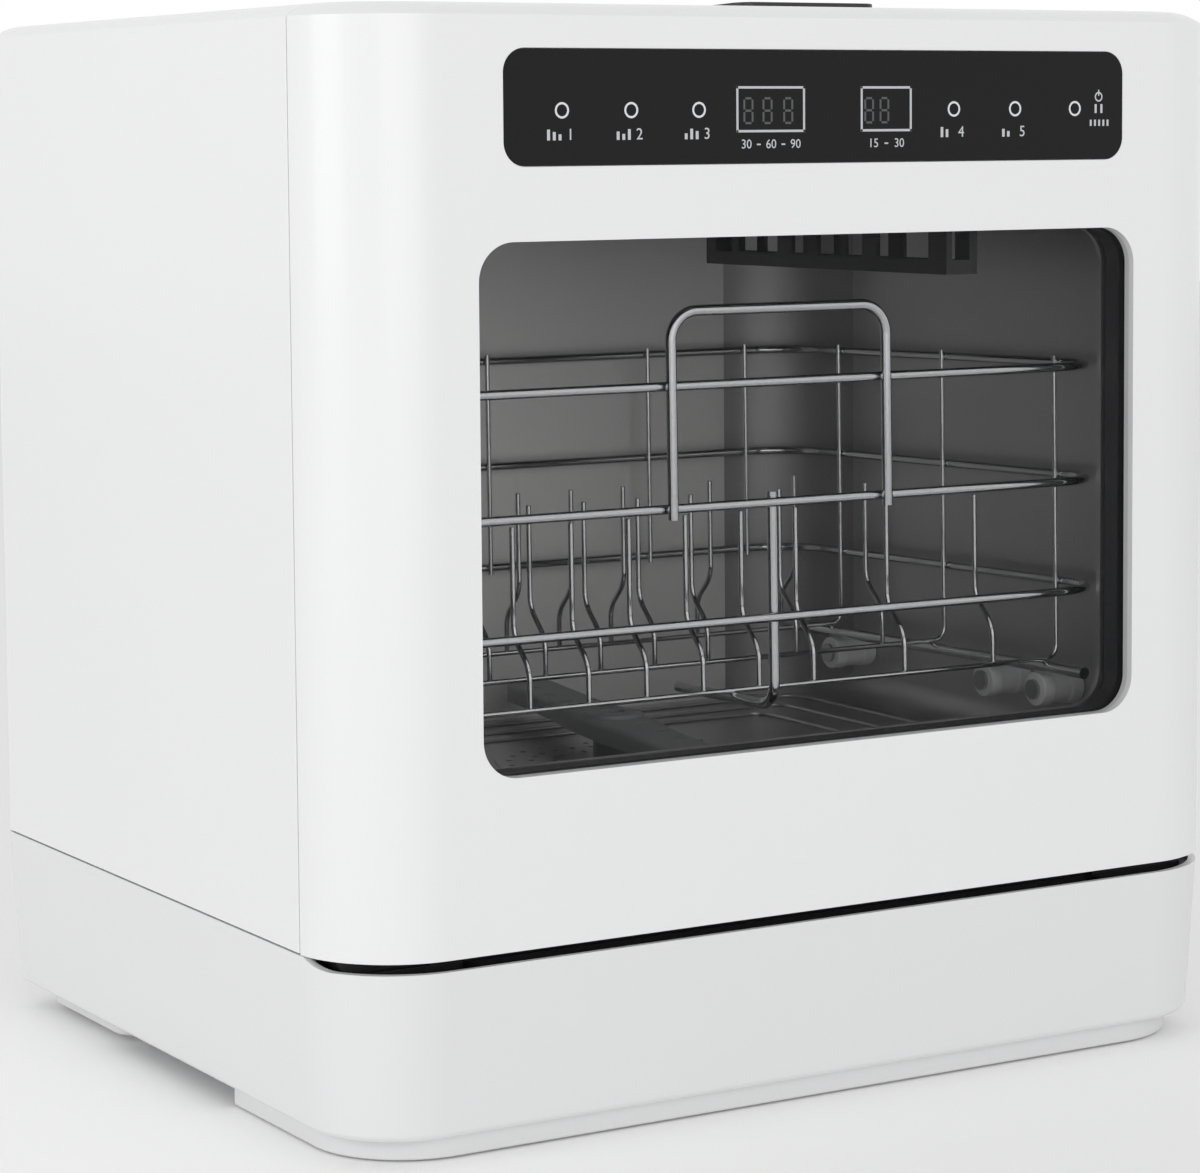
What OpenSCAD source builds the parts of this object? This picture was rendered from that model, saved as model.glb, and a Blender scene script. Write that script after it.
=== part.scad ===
// Countertop dishwasher: a front-opening machine with a drop-down glazed door,
// a sliding wire rack, a lower spray arm and a water tank behind the tub.
// X is to the right, Y goes from the door to the back, Z is up.
// The origin lies on the worktop under the centre of the body.

/* [Body] */
// Width of the body
body_w = 430; // [425:1:460]
// Depth of the body
body_d = 342; // [338:1:370]
// Height from the worktop to the flat of the top
body_h = 440; // [436:1:460]
// Radius of the two front corners, seen from above
corner_r = 43.5; // [38:0.5:46]
// Radius of the two rear corners, seen from above
rear_r = 8; // [5:0.5:12]
// Thickness of the outer skins
skin = 2.5; // [2:0.1:2.8]
// Height of the sloped band round the top
crown_h = 5; // [3:0.5:6]
// Width of the sloped band round the top
crown_run = 17; // [12:1:20]
// Seam between the door and the cabinet
seam = 0.8; // [0.5:0.1:1.2]
// Clearance between touching parts that move
play = 0.3; // [0.2:0.05:0.4]
// Radial clearance of shafts in their bores
run_fit = 0.05; // [0.02:0.01:0.09]

/* [Base] */
// Height of the front lip of the base
lip_h = 75.4; // [70:0.2:77]
// Height of the lower edge of the base skirt
skirt_z = 9.8; // [8:0.2:12]
// Wall of the base
base_wall = 3; // [2.4:0.1:3.4]
// Draft of the base walls from top to bottom
base_draft = 4.2; // [2:0.2:5]
// Setback of the front plinth
plinth_in = 10.4; // [9:0.2:14]
// Thickness of the rubber pads
pad_h = 3; // [2.5:0.1:4]
// Gap between the worktop and the plinth
plinth_gap = 0.8; // [0.4:0.1:1.5]

/* [Door] */
// Height of the lower edge of the door
door_z = 79.8; // [79:0.2:81]
// How far the door wraps round the sides
wrap = 40; // [38:0.5:43]
// Depth of the door from its front face to its liner
door_t = 24; // [23:0.5:24.5]
// Width of the door's face on each side of the window
window_side = 59; // [57:1:70]
// Height of the door's face above the window
window_drop = 90; // [88:0.5:100]
// Height of the window's lower edge
window_z = 146.6; // [144:0.2:150]
// Corner radius of the window
window_r = 15; // [8:0.5:20]
// Depth of the window below the door's face
window_in = 6; // [4:0.5:7]
// Thickness of the outer pane
pane_t = 4; // [3:0.5:4]
// Distance of the hinge axis behind the door's face
hinge_in = 7; // [6.6:0.1:7.4]
// Height of the hinge axis above the door's lower edge
hinge_up = 3; // [2.8:0.1:3.4]
// Distance of each hinge from the side of the body
hinge_side = 50; // [49:1:60]
// Radius of the hinge pins
pin_r = 2; // [1.6:0.1:2.2]
// Radius of the hinge ears
ear_r = 3.8; // [3.4:0.1:3.9]

/* [Control panel] */
// Width of the door's face on each side of the black control panel
panel_side = 68; // [65:1:85]
// Height of the black control panel
panel_h = 44; // [40:0.5:46]
// Distance of the panel's middle below the top of the body
panel_drop = 39.6; // [38:0.2:44]
// Sideways place of the panel's middle
panel_x = 2.4; // [-4:0.2:4]
// Corner radius of the panel
panel_r = 9; // [4:0.5:12]

/* [Tub] */
// Space between the tub and each side of the body
tub_side = 31; // [30:0.5:33]
// Height of the tub's floor
tub_z = 116; // [115:0.5:118]
// Space between the tub's ceiling and the top of the body
tub_drop = 40; // [38:1:44]
// Space behind the tub for the water tank
tub_behind = 52; // [50:1:56]
// Corner radius of the tub
tub_r = 14; // [10:0.5:14.5]
// Thickness of the tub's sheet
tub_t = 1.6; // [1.2:0.1:2]

/* [Rack] */
// Space between the rack and each side of the tub
rack_side = 12; // [11:0.5:16]
// Space between the rack's length and the tub's
rack_behind = 4; // [4:1:14]
// Corner radius of the hoops, seen from above
rack_r = 27; // [18:1:32]
// Backward slope of the rack in degrees
rack_slope = 1; // [0:0.25:2]
// Height of the top hoop at the front
hoop_top = 290; // [280:1:300]
// Height of the middle hoop at the front
hoop_mid = 241; // [236:1:246]
// Height of the low hoop at the front
hoop_low = 194; // [190:1:198]
// Height of the cross wires at the front
floor_z = 160; // [158:0.5:161]
// Radius of the hoop wires
hoop_wire = 1.9; // [1.6:0.1:2.2]
// Radius of the thin wires
thin_wire = 1.15; // [1:0.05:1.4]
// Radius of the handle and centre rod
thick_wire = 2.2; // [1.9:0.1:2.4]
// Radius of the runners
runner_r = 2.6; // [2.2:0.1:2.7]
// Width of the handle
bail_w = 104; // [90:1:120]
// Height of the top of the handle at the front
bail_top = 320; // [310:1:328]
// Closest pitch of the tines
tine_pitch = 27.5; // [26:0.5:28]
// Wide pitch of the tines
tine_wide = 47; // [42:0.5:49]
// Height of the tines above the cross wires
tine_h = 72.5; // [66:0.5:78]
// Backward step of the tines
tine_step = 12.5; // [8:0.5:15]
// Radius of the rollers
roller_r = 7.5; // [6.5:0.25:7.75]
// Width of the rollers
roller_w = 22; // [21:0.5:24]
// Radius of the roller pins
roller_pin = 3; // [2.5:0.25:3.5]

/* [Washing] */
// Space between the tub's depth and the spray arm's length
arm_free = 18; // [14:2:50]
// Width of the spray arm
arm_w = 30; // [24:1:34]
// Thickness of the spray arm
arm_t = 9; // [7:0.5:10]
// Radius of the filter opening in the tub's floor
sump_r = 52; // [46:1:54]
// Radius of the pump impellers' shafts
shaft_r = 3; // [2.5:0.1:3.4]
// Radius of the wash pump's impeller
impeller_r = 28; // [22:1:29]
// Space between the water tank and each side of the tub
tank_side = 19; // [14:1:34]
// Depth of the water tank
tank_d = 40; // [34:1:42]
// Outside radius of the water inlet's thread
inlet_r = 13.2; // [13.2:0.1:13.3]
// Radius of the drain outlet
drain_r = 9; // [8:0.25:10]

/* [Fill lid] */
// Width of the fill lid
lid_w = 70; // [60:1:76]
// Depth of the fill lid
lid_d = 50; // [44:1:54]
// Thickness of the fill lid at its hinge
lid_t = 2.3; // [2:0.1:3]
// Thickness of the fill lid at its front edge
lid_front_t = 4; // [3.2:0.2:4.6]
// Sideways place of the lid
lid_x = 44; // [44:1:50]
// Distance of the lid's middle behind the collar
lid_behind = 59; // [53:1:59]

/* [Hidden] */
$fn = 48;
e = 0.01;

// Main planes
front_y = -body_d / 2;
back_y = body_d / 2;
half_w = body_w / 2;
door_end_y = front_y + wrap - seam / 2;
cab_y = front_y + wrap + seam / 2;
liner_y = front_y + door_t;
mouth_y = liner_y + 2;
frame_t = 14;
tub_y = mouth_y + frame_t;
tub_back = back_y - tub_behind;
tub_d = tub_back - tub_y;
rack_d = tub_d - rack_behind;
arm_len = tub_d - arm_free;
deck_z = door_z - 0.3;

// Sizes that follow the body
window_w = body_w - 2 * window_side;
window_h = body_h - window_drop - window_z;
window_mid = window_z + window_h / 2;
panel_w = body_w - 2 * panel_side;
panel_z = body_h - panel_drop;
tub_w = body_w - 2 * tub_side;
tub_top = body_h - tub_drop;
hinge_x = half_w - hinge_side;
rack_w = tub_w - 2 * rack_side;
tank_w = tub_w - 2 * tank_side;
lid_y = tub_y + lid_behind;

// Hinge line
hinge_y = front_y + hinge_in;
hinge_z = door_z + hinge_up;
ear_t = 3;
leaf_t = 2.2;

// Colours
white = [0.93, 0.93, 0.94];
black = [0.09, 0.09, 0.1];
steel = [0.72, 0.73, 0.75];
grey = [0.45, 0.46, 0.48];

// --- Shared shapes ---------------------------------------------------------

// Outline of the body seen from above
module plan(inset = 0) {
    w = half_w - inset;
    d = body_d / 2 - inset;
    fr = corner_r - inset;
    rr = max(rear_r - inset, 1);
    translate([-w, -d + fr]) square([2 * w, 2 * d - fr - rr]);
    translate([-w + fr, -d]) square([2 * (w - fr), fr]);
    translate([-w + rr, d - rr]) square([2 * (w - rr), rr]);
    for (s = [-1, 1]) {
        translate([s * (w - fr), -d + fr]) circle(fr);
        translate([s * (w - rr), d - rr]) circle(rr);
    }
}

// Outer form of the machine with its sloped top edge
module body_form(inset = 0) {
    hull() for (k = [[1, 0], [0.42, 0.24], [0.12, 0.6], [0, 1]])
        translate([0, 0, body_h - inset - k[0] * crown_h - e])
            linear_extrude(e) plan(inset + k[1] * crown_run);
    linear_extrude(body_h - inset - crown_h) plan(inset);
}

// Rectangle with round corners, centred
module rrect(w, h, r) {
    square([w - 2 * r, h], center = true);
    square([w, h - 2 * r], center = true);
    for (x = [-1, 1], y = [-1, 1]) translate([x * (w / 2 - r), y * (h / 2 - r)]) circle(r);
}

// Rounded block that lies along Y, from y0 to y1, centred on x and z
module slab_y(w, h, r, y0, y1, x = 0, z = 0) {
    translate([x, y1, z]) rotate([90, 0, 0]) linear_extrude(y1 - y0) rrect(w, h, r);
}

// Straight round bar between two points
module bar(p, q, r) {
    d = q - p;
    translate(p) rotate([0, acos(d[2] / norm(d)), atan2(d[1], d[0])])
        cylinder(h = norm(d), r = r);
}

// Round wire through a list of points, with a ball at each bend, turned about X if asked
module wire(points, r, turn = 0) {
    for (i = [1:len(points) - 1]) bar(points[i - 1], points[i], r);
    if (len(points) > 2)
        for (i = [1:len(points) - 2]) translate(points[i]) rotate([turn, 0, 0]) sphere(r = r * 1.05);
}

// Cylinder along X, from x0 to x1
module tube_x(x0, x1, r, y = 0, z = 0) {
    translate([x0, y, z]) rotate([0, 90, 0]) cylinder(h = x1 - x0, r = r);
}

// Cylinder along Y, from y0 to y1
module tube_y(y0, y1, r, x = 0, z = 0) {
    translate([x, y0, z]) rotate([-90, 0, 0]) cylinder(h = y1 - y0, r = r);
}

// Box from one corner to the other
module box(a, b) {
    translate(a) cube(b - a);
}

// --- Base ------------------------------------------------------------------

ledge_z = 56;
bay_w = 150;
bay_x = half_w - 105;
bay_h = 48;
bay_z = 44;
bay_d = 34;

module base_form(inset = 0) {
    hull() {
        translate([0, 0, skirt_z]) linear_extrude(e) plan(base_draft + 3 + inset);
        translate([0, 0, skirt_z + 3]) linear_extrude(e) plan(base_draft + inset);
        translate([0, 0, deck_z - e]) linear_extrude(e) plan(inset);
    }
}

module base_housing() {
    color(white) difference() {
        base_form();
        translate([0, 0, -e * 2]) base_form(base_wall);
        translate([0, 0, deck_z - 5]) linear_extrude(6) plan(base_wall);
        // slot that the collar's apron drops into
        box([-half_w + 7 - play, mouth_y - play, deck_z - base_wall - 1],
            [half_w - 7 + play, tub_y + play, deck_z + 1]);
        // lowered front edge under the door
        box([-half_w - 1, front_y - 1, lip_h], [half_w + 1, cab_y - 10, deck_z + 1]);
        // wedge where the front edge rises to the deck
        for (s = [-1, 1]) translate([s * (half_w - 20), cab_y - 10 - e, 0]) rotate([90, 0, 90])
            linear_extrude(44, center = true) polygon([[-0.1, lip_h], [9, deck_z + 1], [-0.1, deck_z + 1]]);
        // drip slot behind the front lip
        box([-half_w + corner_r, front_y + base_wall, lip_h - base_wall - 8],
            [half_w - corner_r, mouth_y + 1, lip_h + 1]);
        // way into the connection bay
        box([bay_x - bay_w / 2, back_y - base_draft - base_wall - 1, bay_z - bay_h / 2],
            [bay_x + bay_w / 2, back_y + 1, bay_z + bay_h / 2]);
    }
}

// Machine deck inside the rim, with the rails that carry the tub
module base_deck() {
    color(white) difference() {
        translate([0, 0, deck_z - base_wall]) linear_extrude(base_wall) plan(base_wall);
        box([-deck_open, mouth_y, deck_z - base_wall - 1], [deck_open, back_y - 45, deck_z + 1]);
        box([-half_w + 7 - play, mouth_y - play, deck_z - base_wall - 1],
            [half_w - 7 + play, tub_y + play, deck_z + 1]);
        box([-half_w - 1, front_y - 1, deck_z - base_wall - 1], [half_w + 1, cab_y + 1, deck_z + 1]);
    }
    color(white) for (s = [-1, 1]) {
        box([s * hinge_x - 10, mouth_y - 1, skirt_z + 2], [s * hinge_x + 10, mouth_y + 12, ledge_z]);
        box([s * rail_x - 6.2, tub_y + 10, deck_z - 1], [s * rail_x + 4, tub_back - 12, tub_z - tub_t]);
    }
}
deck_open = half_w - 61;
rail_x = tub_w / 2 - 24;

// Five-sided pocket for the water and power connections
module connection_bay() {
    color(white) difference() {
        box([bay_x - bay_w / 2 - 2, back_y - bay_d - 2, bay_z - bay_h / 2 - 2],
            [bay_x + bay_w / 2 + 2, back_y - base_draft - base_wall, bay_z + bay_h / 2 + 2]);
        box([bay_x - bay_w / 2, back_y - bay_d, bay_z - bay_h / 2],
            [bay_x + bay_w / 2, back_y + 1, bay_z + bay_h / 2]);
        tube_y(back_y - bay_d - 3, back_y - bay_d + 1, inlet_bore, inlet_x, bay_z);
        tube_y(back_y - bay_d - 3, back_y - bay_d + 1, drain_bore, drain_x, bay_z);
        tube_y(back_y - bay_d - 3, back_y - bay_d + 1, gland_bore, gland_x, bay_z);
    }
}
inlet_x = bay_x + 45;
drain_x = bay_x;
gland_x = bay_x - 45;
inlet_bore = inlet_r - 1.2;
drain_bore = 8;
gland_bore = 8;

// Steel floor that closes the base from below
module base_pan() {
    color(grey) difference() {
        translate([0, 0, skirt_z]) linear_extrude(2) plan(base_draft + base_wall + 4);
        for (x = [-120:30:120]) translate([x, 20, 0]) linear_extrude(skirt_z + 3) square([6, 80], center = true);
    }
}

module front_plinth() {
    leg_end = front_y + 124;
    r = corner_r - plinth_in;
    color(white) difference() {
        translate([0, 0, plinth_gap]) linear_extrude(skirt_z - plinth_gap)
            intersection() {
                plan(plinth_in);
                translate([-half_w, front_y]) square([body_w, leg_end - front_y]);
            }
        translate([0, 0, plinth_gap - 1]) linear_extrude(skirt_z - plinth_gap - 2) intersection() {
            plan(plinth_in + base_wall);
            translate([-half_w, front_y]) square([body_w, leg_end - front_y - base_wall]);
        }
        box([-half_w + plinth_in + r, front_y + plinth_in + r, 0],
            [half_w - plinth_in - r, leg_end + 1, skirt_z + 1]);
        for (s = [-1, 1]) translate([s * pad_x, front_pad_y, 0]) cylinder(h = skirt_z - 2, r = pad_r + 1);
    }
}
pad_x = half_w - 35;
pad_r = 9;
front_pad_y = front_y + 53;
rear_pad_y = back_y - 41;
foot_y = back_y - 59;

module rear_feet() {
    color(white) for (s = [-1, 1]) difference() {
        translate([s * pad_x, foot_y, pad_h]) linear_extrude(skirt_z - pad_h) rrect(44, 88, 12);
        translate([s * pad_x, foot_y, pad_h - 1]) linear_extrude(skirt_z - pad_h - 1.5) rrect(38, 82, 9);
    }
    color(white) for (s = [-1, 1]) translate([s * pad_x, rear_pad_y, pad_h])
        cylinder(h = skirt_z - 1 - pad_h, r = pad_r + 2);
}

module foot_pads() {
    color(black) for (s = [-1, 1]) {
        translate([s * pad_x, rear_pad_y, 0]) cylinder(h = pad_h, r = pad_r);
        translate([s * pad_x, front_pad_y, 0]) cylinder(h = skirt_z - 2, r = pad_r);
    }
}

// --- Cabinet ---------------------------------------------------------------

side_z = door_z + 0.4;
cap_z = body_h - crown_h;
flange_x = half_w - 24;

module side_panel() {
    difference() {
        translate([0, 0, side_z]) linear_extrude(cap_z - side_z) difference() {
            plan();
            plan(skin);
        }
        box([-half_w - 1, front_y - 1, 0], [half_w + 1, cab_y, body_h]);
        box([-half_w - 1, front_y - 1, 0], [flange_x, back_y + 1, body_h]);
    }
}

module left_side_panel() {
    color(white) mirror([1, 0, 0]) side_panel();
}

module right_side_panel() {
    color(white) side_panel();
}

neck_w = lid_w + 8;
neck_d = lid_d + 14;
neck_y = lid_y + 3;

module top_cover() {
    color(white) difference() {
        body_form();
        body_form(skin);
        box([-half_w - 1, front_y - 1, 0], [half_w + 1, cab_y, body_h + 1]);
        box([-half_w - 1, front_y - 1, -1], [half_w + 1, back_y + 1, cap_z]);
        translate([lid_x, neck_y, cap_z]) linear_extrude(2 * crown_h) rrect(neck_w, neck_d, 9);
    }
}

module rear_panel() {
    color(white) difference() {
        box([-flange_x, back_y - skin, side_z], [flange_x, back_y, cap_z]);
        for (x = [-60:15:60], z = [cap_z - 105, cap_z - 75]) slab_y(6, 18, 2.9, back_y - skin - 1, back_y + 1, x, z);
        rear_screws(screw_r, back_y - skin - 1, back_y + 1);
        rear_screws(3, back_y - 0.4, back_y + 1);
    }
    // inner flanges that join the rear panel to the side panels
    color(white) for (s = [-1, 1]) difference() {
        box([s * flange_x - 8, back_y - skin - 2, side_z], [s * flange_x + 8, back_y - skin, cap_z]);
        rear_screws(screw_r, back_y - skin - 3, back_y);
    }
}
screw_r = 1.6;
screw_zs = [side_z + 20, (side_z + cap_z) / 2, cap_z - 19];

// The rear panel's screws, or their holes
module rear_screws(r, y0, y1) {
    for (s = [-1, 1], z = screw_zs) tube_y(y0, y1, r, s * (flange_x - 5), z);
}

module rear_panel_screws() {
    color(steel) {
        rear_screws(screw_r, back_y - skin - 5, back_y - 0.4);
        difference() {
            rear_screws(3, back_y - 0.4, back_y);
            for (s = [-1, 1], z = screw_zs) box([s * (flange_x - 5) - 2, back_y - 0.3, z - 0.4],
                [s * (flange_x - 5) + 2, back_y + 1, z + 0.4]);
        }
    }
}

// Collar round the mouth of the tub, which carries the seal and the lock
module front_frame() {
    fw = 2 * (half_w - 7);
    top = body_h - 12;
    bottom = lip_h - 9;
    color(black) difference() {
        slab_y(fw, top - bottom, 20, mouth_y, tub_y, 0, (top + bottom) / 2);
        slab_y(tub_w, tub_top - tub_z, tub_r, mouth_y - 1, tub_y + 1, 0, (tub_top + tub_z) / 2);
        seal_ring(play, 0);
        lock_mouth(mouth_y - 1, tub_y + 1);
        tube_y(mouth_y - 1, tub_y + 1, button_r + run_fit, button_x, strike_z);
        for (s = [-1, 1]) box([s * hinge_x - 3, mouth_y - 1, bottom - 1], [s * hinge_x + 3, tub_y + 1, hinge_z + 4]);
    }
}
strike_w = 14;
strike_z = body_h - 22;
strike_h = 8;
strike_gap = 2;

// Slot that the door's strike enters
module lock_mouth(y0, y1) {
    box([-strike_w / 2 - strike_gap, y0, strike_z - strike_h / 2 - strike_gap],
        [strike_w / 2 + strike_gap, y1, strike_z + strike_h / 2 + strike_gap]);
}
button_x = 60;
button_r = 4;
seal_w = 5;

// Ring in the collar's face that the seal sits in
module seal_ring(grow, proud) {
    w = tub_w + 14;
    h = tub_top - tub_z + 12;
    z = (tub_top + tub_z) / 2;
    difference() {
        slab_y(w + 2 * seal_w + grow, h + 2 * seal_w + grow, tub_r + seal_w, mouth_y - proud, mouth_y + 5, 0, z);
        slab_y(w - grow, h - grow, tub_r, mouth_y - 2, mouth_y + 6, 0, z);
    }
}

module tub_seal() {
    color(black) seal_ring(0, 2 - play);
}

tub_mid = (tub_top + tub_z) / 2;
module wash_tub() {
    h = tub_top - tub_z;
    color(steel) difference() {
        slab_y(tub_w + 2 * tub_t, h + 2 * tub_t, tub_r + tub_t, tub_y, tub_back, 0, tub_mid);
        slab_y(tub_w, h, tub_r, tub_y - 1, tub_back + 1, 0, tub_mid);
        translate([0, arm_y, tub_z - tub_t - 1]) cylinder(h = tub_t + 2, r = sump_r);
        translate([fan_x, fan_y, tub_top - 1]) cylinder(h = tub_t + 2, r = duct_r);
        for (s = [-1, 1], y = roller_ys) place_rack() translate([0, y, roller_z])
            tube_x(s > 0 ? tub_w / 2 - 1 : -tub_w / 2 - tub_t - 1, s > 0 ? tub_w / 2 + tub_t + 1 : -tub_w / 2 + 1,
                roller_pin);
    }
}
arm_y = (tub_y + tub_back) / 2;
fan_x = tub_w / 2 - 66;
fan_y = arm_y + 26;
duct_r = 20;

// Pressed sheet welded on as the tub's rear wall
module tub_back_wall() {
    h = tub_top - tub_z;
    color(steel) slab_y(tub_w + 2 * tub_t, h + 2 * tub_t, tub_r + tub_t, tub_back, tub_back + tub_t, 0, tub_mid);
}

module drip_trough() {
    w = hinge_x - 12;
    color(black) difference() {
        box([-w, front_y + base_wall, lip_h - 9], [w, mouth_y - 0.6, lip_h - 3]);
        box([-w + 2, front_y + base_wall + 2, lip_h - 7], [w - 2, mouth_y - 2.6, lip_h]);
    }
}

// --- Hinges and lock -------------------------------------------------------

module hinge_brackets() {
    arm_h = 2.4;
    color(steel) for (s = [-1, 1]) translate([s * hinge_x, 0, 0]) difference() {
        union() {
            tube_x(-ear_t / 2, ear_t / 2, ear_r, hinge_y, hinge_z);
            box([-ear_t / 2, hinge_y, hinge_z - arm_h], [ear_t / 2, mouth_y + 8, hinge_z + arm_h]);
            box([-ear_t / 2, mouth_y, ledge_z], [ear_t / 2, mouth_y + 8, hinge_z + arm_h]);
            box([-7, mouth_y, ledge_z], [7, mouth_y + 8, ledge_z + 2]);
        }
        tube_x(-ear_t, ear_t, pin_r, hinge_y, hinge_z);
    }
    // pins pressed into the ears
    reach = ear_t / 2 + play + leaf_t;
    color(steel) for (s = [-1, 1]) tube_x(s * hinge_x - reach, s * hinge_x + reach, pin_r, hinge_y, hinge_z);
}

module hinge_leaves() {
    inner = ear_t / 2 + play;
    plate_y = liner_y - skin - 1.6;
    color(steel) for (s = [-1, 1]) translate([s * hinge_x, 0, 0]) {
        for (k = [-1, 1]) difference() {
            x0 = k > 0 ? inner : -inner - leaf_t;
            union() {
                tube_x(x0, x0 + leaf_t, ear_r, hinge_y, hinge_z);
                box([x0, hinge_y - 3, hinge_z], [x0 + leaf_t, plate_y + 0.1, hinge_z + 30]);
            }
            tube_x(x0 - 1, x0 + leaf_t + 1, pin_r + run_fit, hinge_y, hinge_z);
        }
        box([-inner - leaf_t - 4, plate_y, hinge_z + 6], [inner + leaf_t + 4, plate_y + 1.6, hinge_z + 34]);
    }
}

module door_lock() {
    color(black) difference() {
        box([-20, tub_y, strike_z - 9], [20, tub_y + 26, strike_z + 9]);
        lock_mouth(tub_y - 1, tub_y + 16);
    }
}

module door_switch_button() {
    color(white) tube_y(liner_y + play, tub_y + 6, button_r, button_x, strike_z);
}

// --- Washing system --------------------------------------------------------

pump_z = 74;
motor_len = 64;
bowl_z = 58;

module sump_bowl() {
    color(grey) difference() {
        union() {
            translate([0, arm_y, bowl_z]) cylinder(h = tub_z - tub_t - bowl_z, r = sump_r + 3);
            tube_x(0, volute_x - 0.1, 15, arm_y, pump_z);
        }
        translate([0, arm_y, bowl_z + 3]) cylinder(h = tub_z, r = sump_r);
        tube_x(0, volute_x + 1, 12, arm_y, pump_z);
        tube_x(-sump_r - 5, 0, feed_r, arm_y, feed_z);
        for (q = heater_ends) translate([q[0], arm_y + q[1], bowl_z - 1]) cylinder(h = 6, r = heater_r);
    }
}
feed_z = pump_z + impeller_r - 5;
feed_r = 7;
heater_r = 3.4;
heater_loop = 30;
heater_ends = [[heater_loop, 0], [0, heater_loop]];
volute_x = 62;

module fine_filter() {
    hole = 3;
    color(steel) translate([0, arm_y, tub_z - 1]) difference() {
        cylinder(h = 1.2, r = sump_r - 0.2);
        translate([cup_x, 0, -1]) cylinder(h = 4, r = cup_r + play);
        translate([0, 0, -1]) cylinder(h = 4, r = post_r);
        for (a = [60:15:300], d = [26, 36, 46]) rotate([0, 0, a]) translate([d, 0, -1])
            cylinder(h = 4, r = hole / 2);
    }
    color(steel) translate([0, arm_y, bowl_z + 3]) difference() {
        cylinder(h = tub_z - bowl_z - 4, r = sump_r - 0.2);
        translate([0, 0, -1]) cylinder(h = tub_z, r = sump_r - 1.2);
        tube_x(0, sump_r + 5, 12, 0, pump_z - bowl_z - 3);
        tube_x(-sump_r - 5, 0, feed_r, 0, feed_z - bowl_z - 3);
    }
}
cup_x = 33;
cup_r = 14;
post_r = 9;

// Twist-out coarse filter with a finger grip
module filter_cup() {
    color(grey) translate([cup_x, arm_y, 0]) {
        difference() {
            translate([0, 0, tub_z - 34]) cylinder(h = 34, r = cup_r);
            translate([0, 0, tub_z - 32]) cylinder(h = 34, r = cup_r - 1.5);
            for (a = [0:30:330]) rotate([0, 0, a]) translate([cup_r - 3, 0, tub_z - 28])
                translate([0, -1.6, 0]) cube([6, 3.2, 20]);
        }
        translate([0, 0, tub_z + 0.4]) difference() {
            cylinder(h = 1.6, r = cup_r + 3);
            translate([0, 0, -1]) cylinder(h = 4, r = cup_r - 3);
        }
        translate([0, 0, tub_z - 1]) difference() {
            cylinder(h = 1.6, r = cup_r);
            translate([0, 0, -1]) cylinder(h = 4, r = cup_r - 3);
        }
        box([-cup_r + 1, -1.2, tub_z - 2], [cup_r - 1, 1.2, tub_z + 5]);
    }
}

module spray_post() {
    color(grey) translate([0, arm_y, 0]) difference() {
        union() {
            translate([0, 0, pump_z + 18]) cylinder(h = arm_z - pump_z - 18, r = post_r);
            translate([0, 0, arm_z]) cylinder(h = arm_t - 3, r = pivot_r);
            tube_x(-sump_r - 12, 0, feed_r, 0, feed_z);
        }
        translate([0, 0, pump_z + 20]) cylinder(h = arm_z + arm_t, r = 3.4);
        tube_x(-sump_r - 13, 0, feed_r - 2, 0, feed_z);
    }
}
arm_z = 127;

module lower_spray_arm() {
    color(grey) translate([0, arm_y, arm_z + play]) difference() {
        union() {
            rotate([0, 0, arm_turn]) linear_extrude(arm_t) arm_outline();
            cylinder(h = arm_t + 2, r = hub_r);
        }
        translate([0, 0, -1]) cylinder(h = arm_t + 4, r = pivot_r + run_fit);
        rotate([0, 0, arm_turn]) for (x = [24:22:arm_len / 2 - 14], s = [-1, 1])
            translate([s * x, s * 5, arm_t - 3]) cylinder(h = 4, r = 1.6);
    }
}
arm_turn = 80;
hub_r = 14;
pivot_r = 5;

// Waisted outline of the spray arm
module arm_outline() {
    tip = arm_w / 2 - 4;
    end = arm_len / 2 - tip;
    circle(arm_w / 2);
    polygon([[-end, -tip], [0, -arm_w / 2 + 2], [end, -tip], [end, tip], [0, arm_w / 2 - 2], [-end, tip]]);
    for (s = [-1, 1]) translate([s * end, 0]) circle(tip);
}

volute_w = 24;
module wash_pump() {
    r = impeller_r + 7;
    color(grey) difference() {
        union() {
            tube_x(volute_x, volute_x + volute_w, r, arm_y, pump_z);
            tube_y(arm_y, arm_y + r + 18, 9, volute_x + volute_w / 2, pump_z + r - 12);
        }
        tube_x(volute_x - 1, volute_x + 3, 12, arm_y, pump_z);
        tube_x(volute_x + 3, volute_x + volute_w - 3, impeller_r + 3, arm_y, pump_z);
        tube_x(volute_x, volute_x + volute_w + 1, shaft_r + run_fit, arm_y, pump_z);
        tube_y(arm_y, arm_y + r + 19, 6.5, volute_x + volute_w / 2, pump_z + r - 12);
    }
    // its motor
    x0 = volute_x + volute_w;
    color(steel) difference() {
        union() {
            tube_x(x0, x0 + motor_len, 27, arm_y, pump_z);
            box([x0 + 8, arm_y - 20, skirt_z + 2], [x0 + motor_len - 8, arm_y + 20, pump_z]);
        }
        tube_x(x0 - 1, x0 + 30, shaft_r + run_fit, arm_y, pump_z);
    }
}

module wash_impeller() {
    x0 = volute_x + 3 + 1;
    color(black) {
        tube_x(x0, volute_x + volute_w + 28, shaft_r, arm_y, pump_z);
        tube_x(x0 + 10, x0 + 13, impeller_r, arm_y, pump_z);
        for (a = [0:60:300]) translate([x0 + 2, arm_y, pump_z]) rotate([a, 0, 0])
            translate([0, 2, -1]) cube([8.5, impeller_r - 4, 2]);
    }
}

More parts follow.
